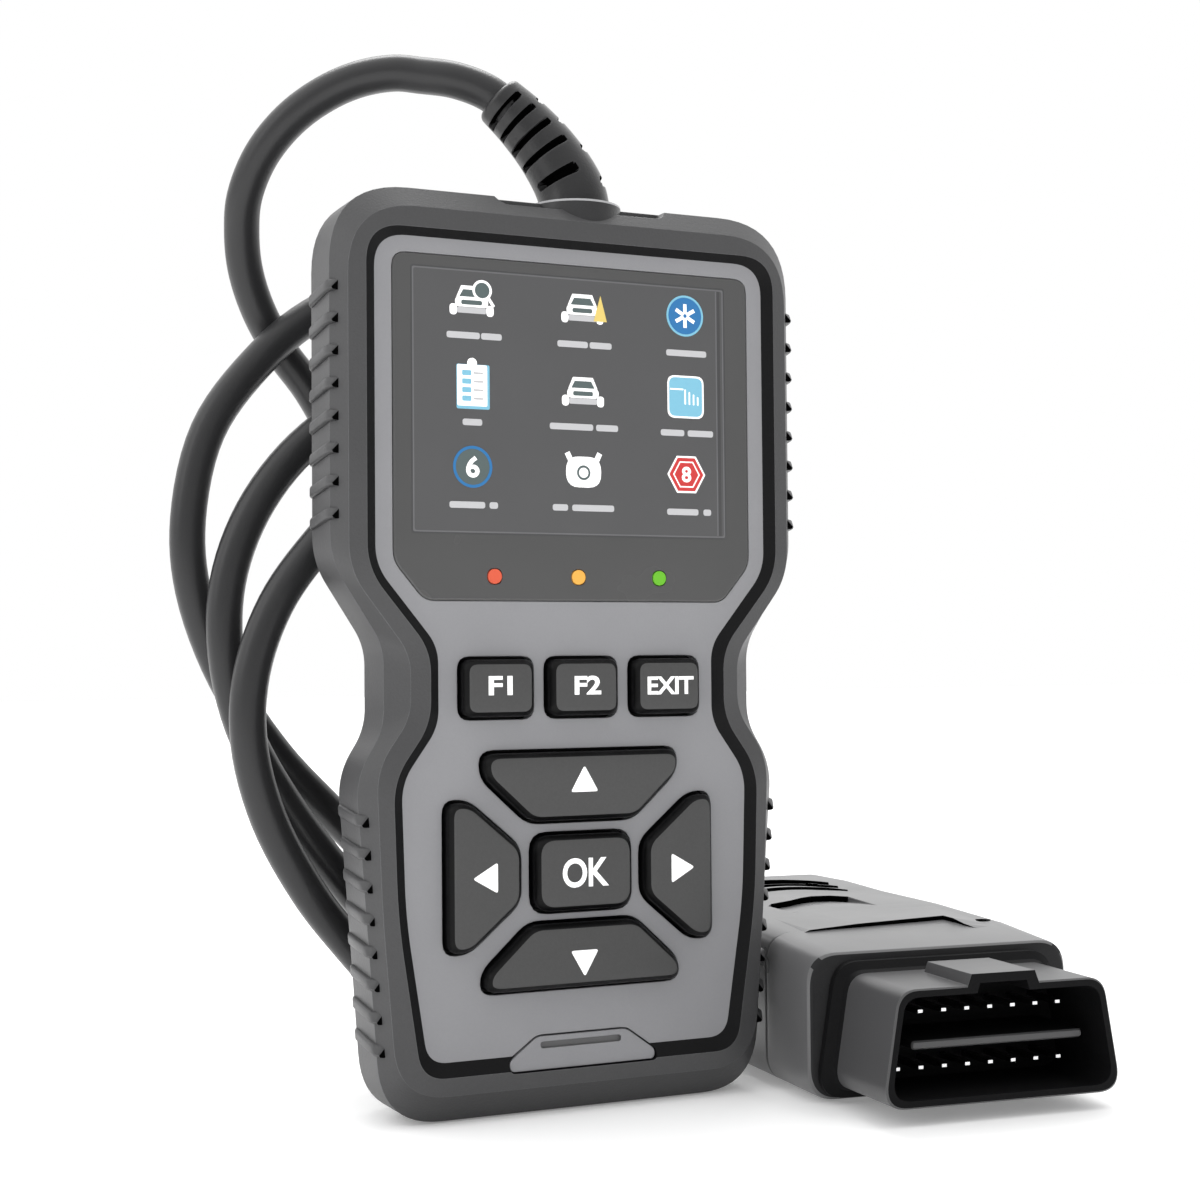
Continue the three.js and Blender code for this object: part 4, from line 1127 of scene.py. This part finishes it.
def plug_ledge():
    """A step across the plug's top that turns forward at its right end, and its back slopes."""
    foot = [(x, y, plug_top(y) - 0.4) for x, y, _ in LEDGE_LINE]
    top = [(x, y, plug_top(y) + h) for x, y, h in LEDGE_LINE]
    back = [(x, y, plug_top(y) - 0.1) for x, y in LEDGE_BACK]
    piece = new_piece("plug_ledge", ["plug", "slot_dark"], *skin([foot, top, back]), PLUG)
    # The step's upright faces are painted dark as shade.
    paint(piece, 1, lambda centre, normal: abs(normal.z) < 0.5 and centre.y < 33, PLUG)
    finish_piece(piece, replaces=["plug_top_shell"], smooth=0)


def plug_notch():
    """A small hollow beside the step, wholly painted dark as shadow."""
    rim = [(17.2 + u * 1.3, 28.8 + v, 24.38) for u, v in disc(0, 0, 1.3, 24)]
    foot = [(x, y, 23.8) for x, y, _ in rim]
    piece = new_piece("plug_notch", ["slot_dark"], *skin([foot, rim]), PLUG)
    finish_piece(piece, replaces=["plug_top_shell"], smooth=0)


SHROUD = symmetric([(20.4, 2.4, 4), (17.5, 20, 3)])
SHROUD_WALL = 1.2
RIM_Y = -7.7


def along_plug(points, y0, y1):
    return skin([[(x, y, z) for x, z in points] for y in (y0, y1)])


def ridge(inset, foot, top):
    """Outline of the key on the shroud's top, or of the channel inside it."""
    return [(6.8 - inset, foot), (5.4 - inset, top), (inset - 5.4, top), (inset - 6.8, foot)]


def shroud():
    piece = new_piece("plug_shroud", ["shroud", "cavity"], *loft([
        (RIM_Y, grow(SHROUD, -0.25)),
        (RIM_Y + 0.25, SHROUD),
        (8.5, grow(SHROUD, 0.1)),
        (9.4, grow(SHROUD, 0.5)),
        (10.4, grow(SHROUD, 1.7)),
        (11.7, grow(SHROUD, 1.7)),
    ], 10), PLUG)
    cut(piece, "UNION", *along_plug(ridge(0, 18, 21.7), RIM_Y, 6), PLUG)
    # Inside faces get the cavity look: painted shade.
    hollow = along_plug(rounded(grow(SHROUD, -SHROUD_WALL), 10), RIM_Y - 1, 8)
    cut(piece, "DIFFERENCE", *hollow, PLUG, look=1)
    cut(piece, "DIFFERENCE", *along_plug(ridge(1.4, 16, 20.3), RIM_Y - 1, 5), PLUG, look=1)

    # The deep inside and the rim's front face are painted dark as shade.
    def in_painted_shade(centre, normal):
        return centre.y > 8.9 or (normal.y < -0.9 and centre.y < -7)

    paint(piece, 1, in_painted_shade, PLUG)
    finish_piece(piece, replaces=["connector_shroud"], smooth=20)


def tongue():
    sections = [
        (-4.3, box2(0.9, PIN_Z, 28.9, 0.8, 0.35)),
        (-4.0, box2(0.9, PIN_Z, 29.4, 1.3, 0.6)),
        (8.3, box2(0.9, PIN_Z, 29.6, 1.5, 0.6)),
    ]
    piece = new_piece("plug_tongue", ["shroud", "cavity"], *loft(sections, 5), PLUG)
    # The tongue's faces inside the shroud are painted dark as shade.
    paint(piece, 1, lambda centre, normal: centre.y > -3.9, PLUG)
    finish_piece(piece, replaces=["connector_shroud"], smooth=20)


PIN_PITCH = 4
PIN_ROW = 4.25
# Of a pin: distance back, half width and half height.
PIN_SECTIONS = ((0, 0.4, 0.24), (1.5, 0.58, 0.38), (21, 0.6, 0.4))


def pins():
    parts = []
    for row in (-1, 1):
        for i in range(8):
            x, z = (i - 3.5) * PIN_PITCH, PIN_Z + row * PIN_ROW
            corners = [(-1, -1), (1, -1), (1, 1), (-1, 1)]
            parts.append(skin([[(x + u * w, y, z + v * h) for u, v in corners]
                               for y, w, h in PIN_SECTIONS]))
    piece = new_piece("plug_pins", ["tin", "tip"], *merged(parts), PLUG)
    # The tips' front faces take the glowing white: painted highlight.
    paint(piece, 1, lambda centre, normal: centre.y < 0.4, PLUG)
    covered = [f"plug_pin_{i:02d}" for i in range(1, 17)]
    finish_piece(piece, replaces=covered, smooth=0)


def plug_sleeve():
    """The plug's ringed strain relief, turned about the cord."""
    profile = [(5.2, 92), (5.2, 93.6), (3.9, 93.6), (3.9, 97.5), (6.0, 97.5), (6.2, 97.8),
               (6.2, 101)]
    for k in range(5):
        y, r = 101.6 + k * 3, 6.0 - 0.33 * k
        profile += [(r, y), (r - 1.1, y + 0.2), (r - 1.15, y + 1.0), (r - 0.1, y + 1.2),
                    (r - 0.2, y + 2.6)]
    profile += [(4.3, 117.2), (3.9, 118), (3.1, 118)]
    rings = [[(x, y, z) for x, z in disc(0, PIN_Z, r)] for r, y in profile]
    piece = new_piece("plug_sleeve", ["relief"], *skin(rings), PLUG)
    finish_piece(piece, replaces=["plug_strain_relief"], smooth=40)


# ---------------------------------------------------------------- the whole

# Looks of the CAD solids that show as they are.
SOLID_LOOKS = {
    "front_cover": "cover", "rear_cover": "plastic", "lcd_glass": "chip", "lcd_tray": "zinc",
    "main_board": "board", "keypad_mat": "key_side", "processor_chip": "chip",
    "transceiver_chip": "chip", "buzzer": "chip", "cable_header": "label", "rear_label": "label",
    "light_guide_red": "red", "light_guide_amber": "amber", "light_guide_green": "green",
    "cord_tie": "bumper", "plug_board": "board", "plug_screw_1": "zinc", "plug_screw_2": "zinc",
    **{f"case_screw_{i}": "zinc" for i in range(1, 7)},
}

make_camera()
make_studio()
cord_piece = make_cord()
for make in (bumper, collar, ribs, relief, window, screen, keys, tab, plug_cap, plug_grip,
             plug_ledge, plug_notch, shroud, tongue, pins, plug_sleeve):
    make()

for name, look in SOLID_LOOKS.items():
    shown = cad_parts[name].data
    shown.materials.clear()
    shown.materials.append(LOOKS[look])
